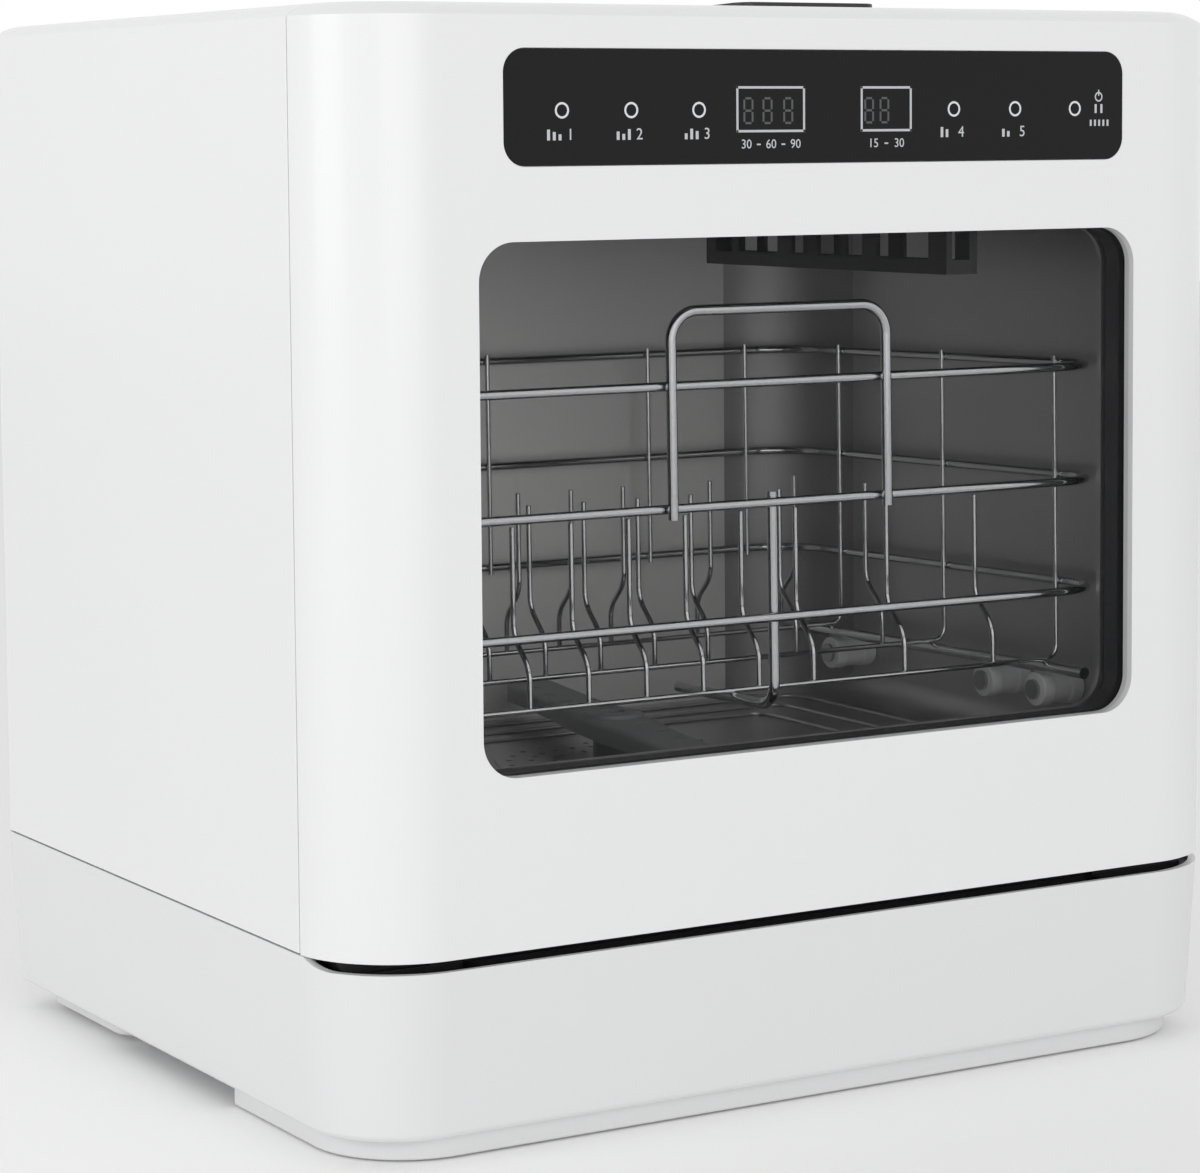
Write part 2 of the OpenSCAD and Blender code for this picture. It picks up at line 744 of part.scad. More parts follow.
// Drain pump, on its own motor, to the left of the sump
dp_x = -96;
dp_z = 60;
module drain_pump() {
    color(grey) difference() {
        union() {
            tube_y(arm_y - 12, arm_y + 8, 24, dp_x, dp_z);
            tube_y(arm_y + 8, arm_y + 58, 19, dp_x, dp_z);
            tube_x(dp_x + 15, -sump_r - 3.2, 9, arm_y - 2, dp_z + 10);
            tube_x(dp_x - 44, dp_x - 15, 8, arm_y - 2, dp_z + 10);
            box([dp_x - 14, arm_y - 8, skirt_z + 2], [dp_x + 14, arm_y + 50, dp_z]);
        }
        tube_y(arm_y - 9, arm_y + 5, 20, dp_x, dp_z);
        tube_y(arm_y, arm_y + 34, shaft_r + run_fit, dp_x, dp_z);
        tube_x(dp_x, -sump_r, 6.5, arm_y - 2, dp_z + 10);
        tube_x(dp_x - 45, dp_x, 6, arm_y - 2, dp_z + 10);
    }
}

module drain_impeller() {
    color(black) {
        tube_y(arm_y - 7, arm_y + 32, shaft_r, dp_x, dp_z);
        for (a = [0:60:300]) translate([dp_x, arm_y - 7, dp_z]) rotate([0, a, 0])
            translate([2, 0, -1]) cube([15, 10, 2]);
    }
}

// Pipe from the wash pump round the sump to the spray post, with three quarter bends
pipe_r = 8;
pipe_bend = 12;

module wash_pipe() {
    px = volute_x + volute_w / 2;
    qx = -sump_r - 28;
    y1 = arm_y + impeller_r + 25;
    y2 = y1 + 22;
    z = feed_z;
    color(black) {
        bar([px, y1, z], [px, y2 - pipe_bend, z], pipe_r);
        bar([px - pipe_bend, y2, z], [qx + pipe_bend, y2, z], pipe_r);
        bar([qx, y2 - pipe_bend, z], [qx, arm_y + pipe_bend, z], pipe_r);
        bar([qx + pipe_bend, arm_y, z], [qx + 16, arm_y, z], pipe_r);
        for (q = [[px - pipe_bend, y2 - pipe_bend, 0], [qx + pipe_bend, y2 - pipe_bend, 90],
            [qx + pipe_bend, arm_y + pipe_bend, 180]])
            translate([q[0], q[1], z]) rotate([0, 0, q[2]]) rotate_extrude(angle = 90)
                translate([pipe_bend, 0]) circle(pipe_r);
    }
}

// Drain hose, tank feed and the hose from the tank to the sump
module water_hoses() {
    y1 = back_y - bay_d - 24;
    sx = -24;
    sy = arm_y + sqrt(pow(sump_r + 3, 2) - sx * sx) + 3.2;
    color(black) {
        wire([[dp_x - 44, arm_y - 2, dp_z + 10], [dp_x - 60, arm_y - 2, dp_z + 10],
            [dp_x - 60, y1, 40], [drain_x, y1, bay_z], [drain_x, y1 + 12, bay_z]], 6, 45);
        wire([[146, y1 - 6, bay_z + 16], [146, y1 - 6, tank_z + 22], [146, tank_y, tank_z + 22]], 5, 45);
        wire([[sx, tank_y, 92], [sx, 100, 92], [sx, 80, 68], [sx, sy, 68]], 6, 45);
    }
}

// Tubular heater that loops round the bottom of the sump
module heater() {
    color(steel) translate([0, arm_y, bowl_z + 12]) {
        for (a = [90, 180, 270]) rotate([0, 0, a]) rotate_extrude(angle = 90)
            translate([heater_loop, 0]) circle(heater_r);
        for (q = heater_ends) bar([q[0], q[1], 0], [q[0], q[1], -18], heater_r);
    }
}

tank_y = tub_back + tub_t + 3;
tank_z = deck_z;
channel_z = tub_top + tub_t + 3;
channel_h = 15;
tank_h = channel_z + channel_h - tank_z;
rod_h = 130;
module water_tank() {
    wall = 2.5;
    color(white) difference() {
        slab_y(tank_w, tank_h, 12, tank_y, tank_y + tank_d, 0, tank_z + tank_h / 2);
        slab_y(tank_w - 2 * wall, tank_h - 2 * wall, 10, tank_y + wall, tank_y + tank_d - wall, 0, tank_z + tank_h / 2);
        tube_y(tank_y - 1, tank_y + wall + 1, 5, lid_x, channel_z + channel_h / 2);
    }
    // rod that the float rides on
    color(white) translate([float_x, tank_y + tank_d / 2, tank_z + wall]) cylinder(h = rod_h, r = rod_r);
}
float_x = 45 - tank_w / 2;
float_r = 12;
rod_r = 3;

module tank_float() {
    color("gold") translate([float_x, tank_y + tank_d / 2, tank_z + 2.5 + play]) difference() {
        cylinder(h = 18, r = float_r);
        translate([0, 0, -1]) cylinder(h = 20, r = rod_r + run_fit);
    }
}

// Mouth under the lid, with the channel that leads back to the tank
module fill_neck() {
    z0 = channel_z;
    color(black) {
        difference() {
            union() {
                translate([lid_x, neck_y, z0]) linear_extrude(body_h - z0) rrect(neck_w - 0.4, neck_d - 0.4, 8.8);
                box([lid_x - 14, neck_y, z0], [lid_x + 14, tank_y, z0 + channel_h]);
            }
            translate([lid_x, lid_y, z0 + 3]) linear_extrude(body_h) rrect(lid_w - 10, lid_d - 10, 5);
            box([lid_x - 12, lid_y, z0 + 2], [lid_x + 12, tank_y + 1, z0 + channel_h - 2]);
        }
        for (s = [-1, 1]) translate([lid_x + s * (lid_w / 2 - 6), 0, 0]) difference() {
            union() {
                tube_x(-2, 2, knuckle_r, lid_hinge_y, lid_hinge_z);
                box([-2, lid_hinge_y - knuckle_r, body_h - 1], [2, lid_hinge_y + knuckle_r, lid_hinge_z]);
            }
            tube_x(-3, 3, lid_pin, lid_hinge_y, lid_hinge_z);
        }
        tube_x(lid_x - lid_w / 2 + 4, lid_x + lid_w / 2 - 4, lid_pin, lid_hinge_y, lid_hinge_z);
    }
}
knuckle_r = 1.5;
lid_pin = 0.8;
lid_hinge_y = lid_y + lid_d / 2 + knuckle_r + 0.4;
lid_hinge_z = body_h + knuckle_r + 0.15;

module fill_lid() {
    z = body_h + 0.15;
    inner = lid_w / 2 - 8 - play;
    color(black) {
        translate([lid_x, lid_y, z]) intersection() {
            linear_extrude(lid_front_t + 1) rrect(lid_w, lid_d, 8);
            rotate([90, 0, 90]) linear_extrude(lid_w + 2, center = true)
                polygon([[-lid_d / 2 - e, -e], [lid_d / 2 + e, -e], [lid_d / 2 + e, lid_t], [-lid_d / 2 - e, lid_front_t]]);
        }
        translate([lid_x, lid_y, z - 4]) linear_extrude(4.1) difference() {
            rrect(lid_w - 14, lid_d - 14, 4);
            rrect(lid_w - 18, lid_d - 18, 2);
        }
        difference() {
            union() {
                tube_x(lid_x - inner, lid_x + inner, knuckle_r, lid_hinge_y, lid_hinge_z);
                box([lid_x - inner, lid_y + lid_d / 2 - 1, z], [lid_x + inner, lid_hinge_y, z + 1.4]);
            }
            tube_x(lid_x - lid_w, lid_x + lid_w, lid_pin + run_fit, lid_hinge_y, lid_hinge_z);
        }
    }
}

// --- Connections and electrics ---------------------------------------------

module inlet_valve() {
    y0 = back_y - bay_d;
    color(white) difference() {
        union() {
            tube_y(y0 - 2, y0, inlet_bore, inlet_x, bay_z);
            tube_y(y0, y0 + 20, inlet_r, inlet_x, bay_z);
            box([inlet_x - 16, y0 - 40, bay_z - 16], [inlet_x + 16, y0 - 2, bay_z + 16]);
            translate([inlet_x + 3, y0 - 21, bay_z + 16]) cylinder(h = 14, r = 10);
        }
        tube_y(y0 - 20, y0 + 21, 8, inlet_x, bay_z);
    }
}

module drain_spigot() {
    y0 = back_y - bay_d;
    color(grey) difference() {
        union() {
            tube_y(y0 - 12, y0 - 2, drain_r, drain_x, bay_z);
            tube_y(y0 - 2, y0, drain_bore, drain_x, bay_z);
            tube_y(y0, y0 + 26, drain_r, drain_x, bay_z);
        }
        tube_y(y0 - 13, y0 + 27, drain_r - 2.2, drain_x, bay_z);
    }
}

module power_gland() {
    y0 = back_y - bay_d;
    color(black) difference() {
        union() {
            tube_y(y0, y0 + 4, 13, gland_x, bay_z);
            tube_y(y0 - 10, y0 + 16, gland_bore, gland_x, bay_z);
        }
        tube_y(y0 - 11, y0 + 17, 3.6, gland_x, bay_z);
    }
}

module power_board() {
    y = back_y - 31;
    x0 = 59 - half_w;
    color("darkgreen") box([x0 + 6, y, skirt_z + 8], [x0 + 126, y + 2, deck_z - 7]);
    color(black) {
        box([x0, y - 8, skirt_z + 2], [x0 + 132, y + 10, skirt_z + 8]);
        for (k = [0:3]) box([x0 + 16 + 28 * k, y - 12, skirt_z + 14], [x0 + 34 + 28 * k, y, skirt_z + 34]);
    }
}

// Duct of the drying air under the tub's ceiling: a long slotted rail, and a box under the fan
outlet_h = 70;
duct_x = fan_x - duct_r - 1;
duct_w = 16;
duct_y0 = mouth_y + 25;
duct_y1 = fan_y + 48;
duct_slots = [[33, 13], [4.5, 32], [-29.5, 13], [-52.5, 19], [-71.5, 13], [-108, 38]];
module air_outlet() {
    z0 = tub_top - outlet_h;
    zm = tub_top - 50;
    side = 2 * duct_r + 2;
    color(black) difference() {
        union() {
            box([duct_x, duct_y0, z0], [duct_x + duct_w, duct_y1, tub_top]);
            box([duct_x, fan_y - side / 2, zm], [duct_x + side, fan_y + side / 2, tub_top]);
        }
        box([duct_x + 2, duct_y0 + 2, z0 + 2], [duct_x + duct_w - 2, duct_y1 - 2, tub_top + 1]);
        box([duct_x + 1.9, fan_y - side / 2 + 2, zm + 2], [duct_x + side - 2, fan_y + side / 2 - 2, tub_top + 1]);
        // slots, low under the box and taller beside it
        for (q = duct_slots) box([duct_x - 1, fan_y + q[0] - q[1] / 2, z0 + 6],
            [duct_x + duct_w + 1, fan_y + q[0] + q[1] / 2, abs(q[0]) < 31 ? zm - 3 : tub_top - 14]);
        box([duct_x + 3, duct_y0 - 1, z0 + 6], [duct_x + duct_w - 4, duct_y0 + 3, tub_top - 14]);
    }
}

module fan_housing() {
    z0 = tub_top + tub_t;
    color(black) translate([fan_x, fan_y, z0]) difference() {
        cylinder(h = 30, r = 40);
        translate([0, 0, 2]) cylinder(h = 26, r = 37);
        translate([0, 0, -1]) cylinder(h = 4, r = duct_r);
        translate([0, 0, 27]) cylinder(h = 4, r = shaft_r + run_fit);
    }
}

module fan_wheel() {
    z0 = tub_top + tub_t;
    color(grey) translate([fan_x, fan_y, z0]) {
        translate([0, 0, 22]) cylinder(h = 2, r = 33);
        translate([0, 0, 5]) cylinder(h = 27, r = shaft_r);
        for (a = [0:30:330]) rotate([0, 0, a]) translate([22, -0.8, 5]) cube([11, 1.6, 17.5]);
    }
}

// --- Rack ------------------------------------------------------------------

rack_y = liner_y + 9;
roller_z = floor_z - thin_wire - 2 * runner_r + 0.3 - roller_r - play;
roller_ys = [rack_y + 41, rack_y + 79, rack_y + rack_d - 46];
runner_z = floor_z - thin_wire - runner_r + 0.3;

// Everything that belongs to the rack slopes down to the back
module place_rack() {
    translate([0, rack_y, floor_z]) rotate([-rack_slope, 0, 0]) translate([0, -rack_y, -floor_z]) children();
}

module hoop(z) {
    w = rack_w / 2;
    y1 = rack_y + rack_d;
    for (y = [rack_y, y1]) tube_x(-w + rack_r, w - rack_r, hoop_wire, y, z);
    for (s = [-1, 1]) tube_y(rack_y + rack_r, y1 - rack_r, hoop_wire, s * w, z);
    for (q = [[1, 1, 0], [-1, 1, 90], [-1, -1, 180], [1, -1, 270]])
        translate([q[0] * (w - rack_r), q[1] > 0 ? y1 - rack_r : rack_y + rack_r, z])
            rotate([0, 0, q[2]]) rotate_extrude(angle = 90) translate([rack_r, 0]) circle(hoop_wire);
}

module rack_hoops() {
    color(steel) place_rack() for (z = [hoop_top, hoop_mid, hoop_low]) hoop(z);
}

row_ys = [rack_y + 35, rack_y + 118, rack_y + rack_d - 45];
post_x = rack_w / 2 - hoop_wire - thin_wire + 0.3;
bend_r = 6;

// U-shaped wires that make the rack's floor and its side posts
module rack_cross_wires() {
    color(steel) place_rack() for (y = row_ys) {
        tube_x(-post_x + bend_r, post_x - bend_r, thin_wire, y, floor_z);
        for (s = [-1, 1]) {
            translate([s * post_x, y, floor_z + bend_r]) cylinder(h = hoop_top - floor_z - bend_r + 3, r = thin_wire);
            translate([s * (post_x - bend_r), y, floor_z + bend_r]) rotate([90, 0, 0])
                rotate([0, 0, s > 0 ? 270 : 180]) rotate_extrude(angle = 90) translate([bend_r, 0]) circle(thin_wire);
        }
    }
    // upright wires at the back
    back = rack_y + rack_d - hoop_wire - thin_wire + 0.3;
    color(steel) place_rack() for (k = [-0.413, -0.248, 0.004, 0.257, 0.417])
        translate([k * rack_w, back, hoop_low - 3]) cylinder(h = hoop_top - hoop_low + 6, r = thin_wire);
}

fine_x = 40.5;
function tine_xs() = concat([for (k = [0:7]) fine_x - k * tine_pitch], [for (k = [1:2]) fine_x + k * tine_wide]);

// One cranked tine; dir is +1 where it steps back and -1 where it steps forward
module tine(x, y, dir) {
    z0 = floor_z + thin_wire - 0.3;
    wire([[x, y, z0], [x, y, z0 + 16], [x, y + dir * tine_step, z0 + 28], [x, y + dir * tine_step, z0 + tine_h]],
        thin_wire);
}

module rack_tines() {
    color(steel) place_rack() for (i = [0:2], x = tine_xs()) tine(x, row_ys[i], i < 2 ? 1 : -1);
}

// Runners that roll on the rollers, and the rod that hooks under the floor
module rack_runners() {
    color(steel) place_rack() for (s = [-1, 1])
        tube_y(rack_y + 8, rack_y + rack_d - 6, runner_r, s * (post_x - bend_r), runner_z);
}

module rack_handle() {
    z0 = hoop_mid - 4;
    y = rack_y - hoop_wire - thick_wire + 0.3;
    x = bail_w / 2;
    r = 12;
    jy = rack_y + hoop_wire + thick_wire - 0.3;
    jz = floor_z - thin_wire - thick_wire + 0.3;
    color(steel) place_rack() {
        for (s = [-1, 1]) {
            translate([s * x, y, z0]) cylinder(h = bail_top - r - z0, r = thick_wire);
            translate([s * (x - r), y, bail_top - r]) rotate([90, 0, 0])
                rotate([0, 0, s > 0 ? 0 : 90]) rotate_extrude(angle = 90) translate([r, 0]) circle(thick_wire);
        }
        tube_x(-x + r, x - r, thick_wire, y, bail_top);
    }
    color(steel) place_rack() {
        translate([0, jy, jz + 10]) cylinder(h = hoop_mid + 4 - jz - 10, r = thick_wire);
        translate([0, jy + 10, jz + 10]) rotate([0, 90, 0]) rotate([0, 0, 270])
            rotate_extrude(angle = 90) translate([10, 0]) circle(thick_wire);
        tube_y(jy + 10, jy + 74, thick_wire, 0, jz);
    }
}

module roller_pair(y) {
    x1 = tub_w / 2 - play;
    color(white) place_rack() translate([0, y, roller_z]) for (s = [-1, 1]) difference() {
        tube_x(s > 0 ? x1 - roller_w : -x1, s > 0 ? x1 : -x1 + roller_w, roller_r);
        tube_x(-x1 - 1, x1 + 1, roller_pin + run_fit);
    }
}

module front_rollers() {
    roller_pair(roller_ys[0]);
}

module middle_rollers() {
    roller_pair(roller_ys[1]);
}

module rear_rollers() {
    roller_pair(roller_ys[2]);
}

module roller_pins() {
    x0 = tub_w / 2 - roller_w - play - 2;
    x1 = tub_w / 2 + tub_t + 1.5;
    color(steel) place_rack() for (s = [-1, 1], y = roller_ys) translate([0, y, roller_z]) {
        tube_x(s > 0 ? x0 : -x1, s > 0 ? x1 : -x0, roller_pin);
        tube_x(s > 0 ? x0 : -x0 - 1.6, s > 0 ? x0 + 1.6 : -x0, roller_pin + 1.4);
        tube_x(s > 0 ? tub_w / 2 + tub_t : -x1, s > 0 ? x1 : -tub_w / 2 - tub_t, roller_pin + 3);
    }
}

// --- Door ------------------------------------------------------------------

module door_shell() {
    open_w = window_w;
    color(white) difference() {
        union() {
            difference() {
                body_form();
                body_form(skin);
            }
            intersection() {
                body_form();
                box([-half_w, front_y, door_z], [half_w, liner_y, door_z + skin]);
            }
            slab_y(open_w + 5, window_h + 5, window_r + 2.5, front_y + 1, front_y + window_in - 0.1, 0, window_mid);
            panel_seat();
        }
        box([-half_w - 1, front_y - 1, -1], [half_w + 1, back_y + 1, door_z]);
        box([-half_w - 1, door_end_y, 0], [half_w + 1, back_y + 1, body_h + 1]);
        slab_y(open_w, window_h, window_r, front_y - 1, front_y + window_in + 1, 0, window_mid);
        slab_y(panel_w + 0.4, panel_h + 0.4, panel_r + 0.2, front_y - 1, front_y + lens_t - 0.2, panel_x, panel_z);
        slab_y(panel_w - 8, panel_h - 8, panel_r - 3, front_y - 1, front_y + 10, panel_x, panel_z);
        for (s = [-1, 1]) box([s * hinge_x - hinge_notch, hinge_y - ear_r - play, door_z - 1],
            [s * hinge_x + hinge_notch, liner_y + 1, door_z + skin + 1]);
    }
}
lens_t = 2;
hinge_notch = 5;

// Wall behind the front face that the control lens sits in
module panel_seat() {
    slab_y(panel_w + 6, panel_h + 6, panel_r + 3, front_y + 1, front_y + lens_t + 2, panel_x, panel_z);
}

module control_lens() {
    color(black) slab_y(panel_w, panel_h, panel_r, front_y - 0.2, front_y + lens_t - 0.2, panel_x, panel_z);
}

// Board behind the lens with its two number displays
module display_modules() {
    y0 = front_y + lens_t - 0.2;
    color("darkgreen") slab_y(panel_w - 12, panel_h - 12, 4, y0 + 6, y0 + 7.6, panel_x, panel_z);
    color(black) for (d = [[-25, 34], [32, 24]])
        box([panel_x + d[0] - d[1] / 2, y0 + 0.1, panel_z - 13], [panel_x + d[0] + d[1] / 2, y0 + 6, panel_z + 13]);
    color(steel) for (s = [-1, 1]) tube_y(y0 + 7.6, liner_y - skin, 4, panel_x + s * 110, panel_z);
}

glass_over = 6;
frame_over = 11;
glass_y = front_y + window_in;
module pane(y0, y1) {
    slab_y(window_w + 2 * glass_over, window_h + 2 * glass_over, window_r + glass_over, y0, y1, 0, window_mid);
}

module door_glass() {
    color([0.6, 0.65, 0.68, 0.35]) {
        pane(glass_y, glass_y + pane_t);
        pane(liner_y - skin - 3, liner_y - skin);
    }
}

module glass_frame() {
    y1 = liner_y - skin;
    color(black) difference() {
        slab_y(window_w + 2 * frame_over, window_h + 2 * frame_over, window_r + frame_over, glass_y, y1, 0, window_mid);
        slab_y(window_w, window_h, window_r, glass_y - 1, y1 + 1, 0, window_mid);
        pane(glass_y - 1, glass_y + pane_t);
        pane(y1 - 3, y1 + 1);
    }
}

// Inner face of the door
module door_liner() {
    color(steel) {
        difference() {
            intersection() {
                body_form(skin + run_fit);
                box([-half_w, liner_y - skin, door_z + skin], [half_w, liner_y, body_h]);
            }
            slab_y(window_w, window_h, window_r, liner_y - 10, liner_y + 1, 0, window_mid);
            for (s = [-1, 1]) box([s * hinge_x - hinge_notch, liner_y - skin - 1, door_z],
                [s * hinge_x + hinge_notch, liner_y + 1, hinge_z + 4.5]);
        }
    }
}

// Loop on the liner that the lock holds
module door_strike() {
    color(steel) difference() {
        box([-strike_w / 2, liner_y, strike_z - strike_h / 2],
            [strike_w / 2, liner_y + 14, strike_z + strike_h / 2]);
        box([-strike_w / 2 + 3, liner_y + 5, strike_z - strike_h],
            [strike_w / 2 - 3, liner_y + 11, strike_z + strike_h]);
    }
}

base_housing();
base_deck();
connection_bay();
base_pan();
front_plinth();
rear_feet();
foot_pads();
left_side_panel();
right_side_panel();
top_cover();
rear_panel();
rear_panel_screws();
front_frame();
wash_tub();
tub_back_wall();
tub_seal();
drip_trough();
hinge_brackets();
door_lock();
door_switch_button();
sump_bowl();
fine_filter();
filter_cup();
spray_post();
lower_spray_arm();
wash_pump();
wash_impeller();
drain_pump();
drain_impeller();
wash_pipe();
water_hoses();
heater();
water_tank();
tank_float();
fill_neck();
fill_lid();
inlet_valve();
drain_spigot();
power_gland();
power_board();
air_outlet();
fan_housing();
fan_wheel();
roller_pins();
front_rollers();
middle_rollers();
rear_rollers();
rack_hoops();
rack_cross_wires();
rack_tines();
rack_runners();
rack_handle();
door_shell();
control_lens();
display_modules();
door_glass();
glass_frame();
door_liner();
door_strike();
hinge_leaves();
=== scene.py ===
# %% [markdown]
# # A countertop dishwasher
# A white box with a drop-down glass door, a sliding wire rack and a spray arm. The exact solids come in
# first as a fixed frame. This lesson dresses them: big smooth shells are modelled anew, small solids get
# soft edges, and everything gets a finish made of shader nodes.

# %% Load the frame
import math
import bmesh
import bpy
from mathutils import Matrix, Vector


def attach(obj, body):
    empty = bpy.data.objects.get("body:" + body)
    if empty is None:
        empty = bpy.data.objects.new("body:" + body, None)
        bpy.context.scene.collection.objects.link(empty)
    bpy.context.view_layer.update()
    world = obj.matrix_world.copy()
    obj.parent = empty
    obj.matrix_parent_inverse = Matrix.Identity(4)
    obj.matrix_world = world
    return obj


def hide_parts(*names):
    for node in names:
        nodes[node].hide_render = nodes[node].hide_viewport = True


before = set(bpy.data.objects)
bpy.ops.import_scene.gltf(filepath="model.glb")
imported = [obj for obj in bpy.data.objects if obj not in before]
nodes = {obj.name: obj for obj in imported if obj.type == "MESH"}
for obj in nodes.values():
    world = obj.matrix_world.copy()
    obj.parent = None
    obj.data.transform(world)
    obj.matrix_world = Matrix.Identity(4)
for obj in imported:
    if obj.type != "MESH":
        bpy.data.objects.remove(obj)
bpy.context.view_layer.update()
mm = 0.001

# %% [markdown]
# ## Where the camera stands
# The machine is seen from its front left, from just under the height of its top, through a long lens. A
# long lens keeps the upright edges nearly parallel. A little downward shift does the rest of that work, so
# the camera needs to look down by only five degrees.

# %% Camera
def look(yaw, down, roll):
    """A camera's turn, from its angles in degrees: yaw to the right of +Y, down from level, and roll."""
    yaw, down, roll = (math.radians(v) for v in (yaw, down, roll))
    forward = Vector((math.sin(yaw) * math.cos(down), math.cos(yaw) * math.cos(down), -math.sin(down)))
    right = Vector((math.cos(yaw), -math.sin(yaw), 0))
    up = right.cross(forward)
    across = right * math.cos(roll) + up * math.sin(roll)
    above = up * math.cos(roll) - right * math.sin(roll)
    return Matrix((across, above, -forward)).transposed().to_4x4()


lens = bpy.data.cameras.new("camera")
lens.lens, lens.sensor_width, lens.shift_y = 108.43, 36, -0.12
lens.clip_start, lens.clip_end = 0.05, 30
camera = bpy.data.objects.new("camera", lens)
camera.matrix_world = Matrix.Translation(Vector((-808.4, -1353.6, 389.4)) * mm) @ look(30.782, 4.845, -0.446)
bpy.context.scene.collection.objects.link(camera)
bpy.context.scene.camera = camera
print("camera at", [round(v, 3) for v in camera.location])

# %% [markdown]
# ## Helpers for modelling by hand
# Every operator works on what is selected, so nothing may be selected by accident. These helpers start from
# an empty selection, pick faces or edges by their place, in millimetres, and by their direction, and apply
# modifiers one by one.

# %% Select, shape and finish
def alone(piece=None):
    """Leave edit mode, deselect everything, and make one piece active and selected."""
    if bpy.context.object and bpy.context.object.mode != "OBJECT":
        bpy.ops.object.mode_set(mode="OBJECT")
    bpy.ops.object.select_all(action="DESELECT")
    if piece:
        piece.select_set(True)
        bpy.context.view_layer.objects.active = piece
    return piece


def block(name, low, high):
    """A box from one corner to the other, in millimetres, with its place in its mesh."""
    alone()
    low, high = Vector(low) * mm, Vector(high) * mm
    bpy.ops.mesh.primitive_cube_add(size=1, location=(low + high) / 2, scale=high - low)
    bpy.ops.object.transform_apply(location=True, rotation=True, scale=True)
    bpy.context.object.name = bpy.context.object.data.name = name
    return bpy.context.object


def pick(piece, kind, test):
    """Select, in edit mode, the VERTs, EDGEs or FACEs whose middle (in mm) and direction pass the test."""
    alone(piece)
    bpy.ops.object.mode_set(mode="EDIT")
    bpy.ops.mesh.select_mode(type=kind)
    bpy.ops.mesh.select_all(action="DESELECT")
    shape = bmesh.from_edit_mesh(piece.data)
    shape.normal_update()
    for part in {"VERT": shape.verts, "EDGE": shape.edges, "FACE": shape.faces}[kind]:
        if kind == "EDGE":
            a, b = (v.co for v in part.verts)
            middle, way = (a + b) / 2, (b - a).normalized()
        else:
            middle, way = (part.co if kind == "VERT" else part.calc_center_median()), part.normal
        if test(middle / mm, way):
            part.select_set(True)
    bmesh.update_edit_mesh(piece.data)


def round_edges(piece, radius, segments, test):
    """Round the edges that pass the test."""
    pick(piece, "EDGE", test)
    bpy.ops.mesh.bevel(offset_type="OFFSET", offset=radius * mm, segments=segments, affect="EDGES")
    alone(piece)


def slice_off(piece, place, normal, fill=False):
    """Cut a piece by a plane and drop what lies on the side that the normal points to."""
    pick(piece, "FACE", lambda c, n: True)
    bpy.ops.mesh.bisect(plane_co=Vector(place) * mm, plane_no=normal, use_fill=fill, clear_outer=True)
    if fill:
        bpy.ops.mesh.select_all(action="SELECT")
        bpy.ops.mesh.normals_make_consistent(inside=False)
    alone(piece)


def apply(piece, *steps):
    """Add modifiers and apply them at once: each step is a modifier's type and its settings."""
    for kind, settings in steps:
        alone(piece)
        modifier = piece.modifiers.new(kind, kind)
        for name, value in settings.items():
            setattr(modifier, name, value)
        bpy.ops.object.modifier_apply(modifier=modifier.name)
    return piece


def carve(piece, cutter, operation="DIFFERENCE"):
    """Take a cutter away from a piece, or join it on, and throw the cutter away."""
    apply(piece, ("BOOLEAN", {"object": cutter, "operation": operation, "solver": "EXACT"}))
    bpy.data.objects.remove(cutter)


def joined(name, parts):
    """Join several objects into one."""
    alone(parts[0])
    for part in parts:
        part.select_set(True)
    bpy.ops.object.join()
    parts[0].name = parts[0].data.name = name
    return parts[0]


def copy_of(piece, name):
    """A copy of a piece with a mesh of its own."""
    twin = piece.copy()
    twin.data = piece.data.copy()
    twin.name = twin.data.name = name
    bpy.context.scene.collection.objects.link(twin)
    return alone(twin)


def soften(piece, width=0.6, angle=38, segments=3):
    """Round off the sharp edges a little and smooth the shading between them."""
    apply(piece, ("BEVEL", {"width": width * mm, "segments": segments, "limit_method": "ANGLE",
                            "angle_limit": math.radians(angle), "miter_outer": "MITER_ARC"}))
    alone(piece)
    bpy.ops.object.shade_smooth_by_angle(angle=math.radians(angle))
    apply(piece, ("WEIGHTED_NORMAL", {"keep_sharp": True, "weight": 60}))
    return piece


def rounded(name, low, high, radius, axis, segments=10):
    """A block whose four edges along one axis (0, 1 or 2) are rounded."""
    piece = block(name, low, high)
    round_edges(piece, radius, segments, lambda c, d: abs(d[axis]) > 0.9)
    return piece


print("helpers ready")

# %% [markdown]
# ## Shader maths that reads like arithmetic
# A finish is a small tree of nodes. Wiring it by name is slow to read, so one class wraps an output socket
# and turns `a * b + 1` into Math nodes. Every other node comes from one method, which sets the node's own
# settings first and then its sockets.

# %% Finish and its wires
class Wire:
    """An output socket that can be added, subtracted and multiplied like a number."""

    def __init__(self, finish, socket):
        self.finish, self.socket = finish, socket

    def _math(self, operation, *values):
        return self.finish.node("ShaderNodeMath", {"operation": operation}, dict(enumerate(values)))

    def __add__(self, other):
        return self._math("ADD", self, other)

    def __sub__(self, other):
        return self._math("SUBTRACT", self, other)

    def __rsub__(self, other):
        return self._math("SUBTRACT", other, self)

    def __mul__(self, other):
        return self._math("MULTIPLY", self, other)

    __radd__, __rmul__ = __add__, __mul__


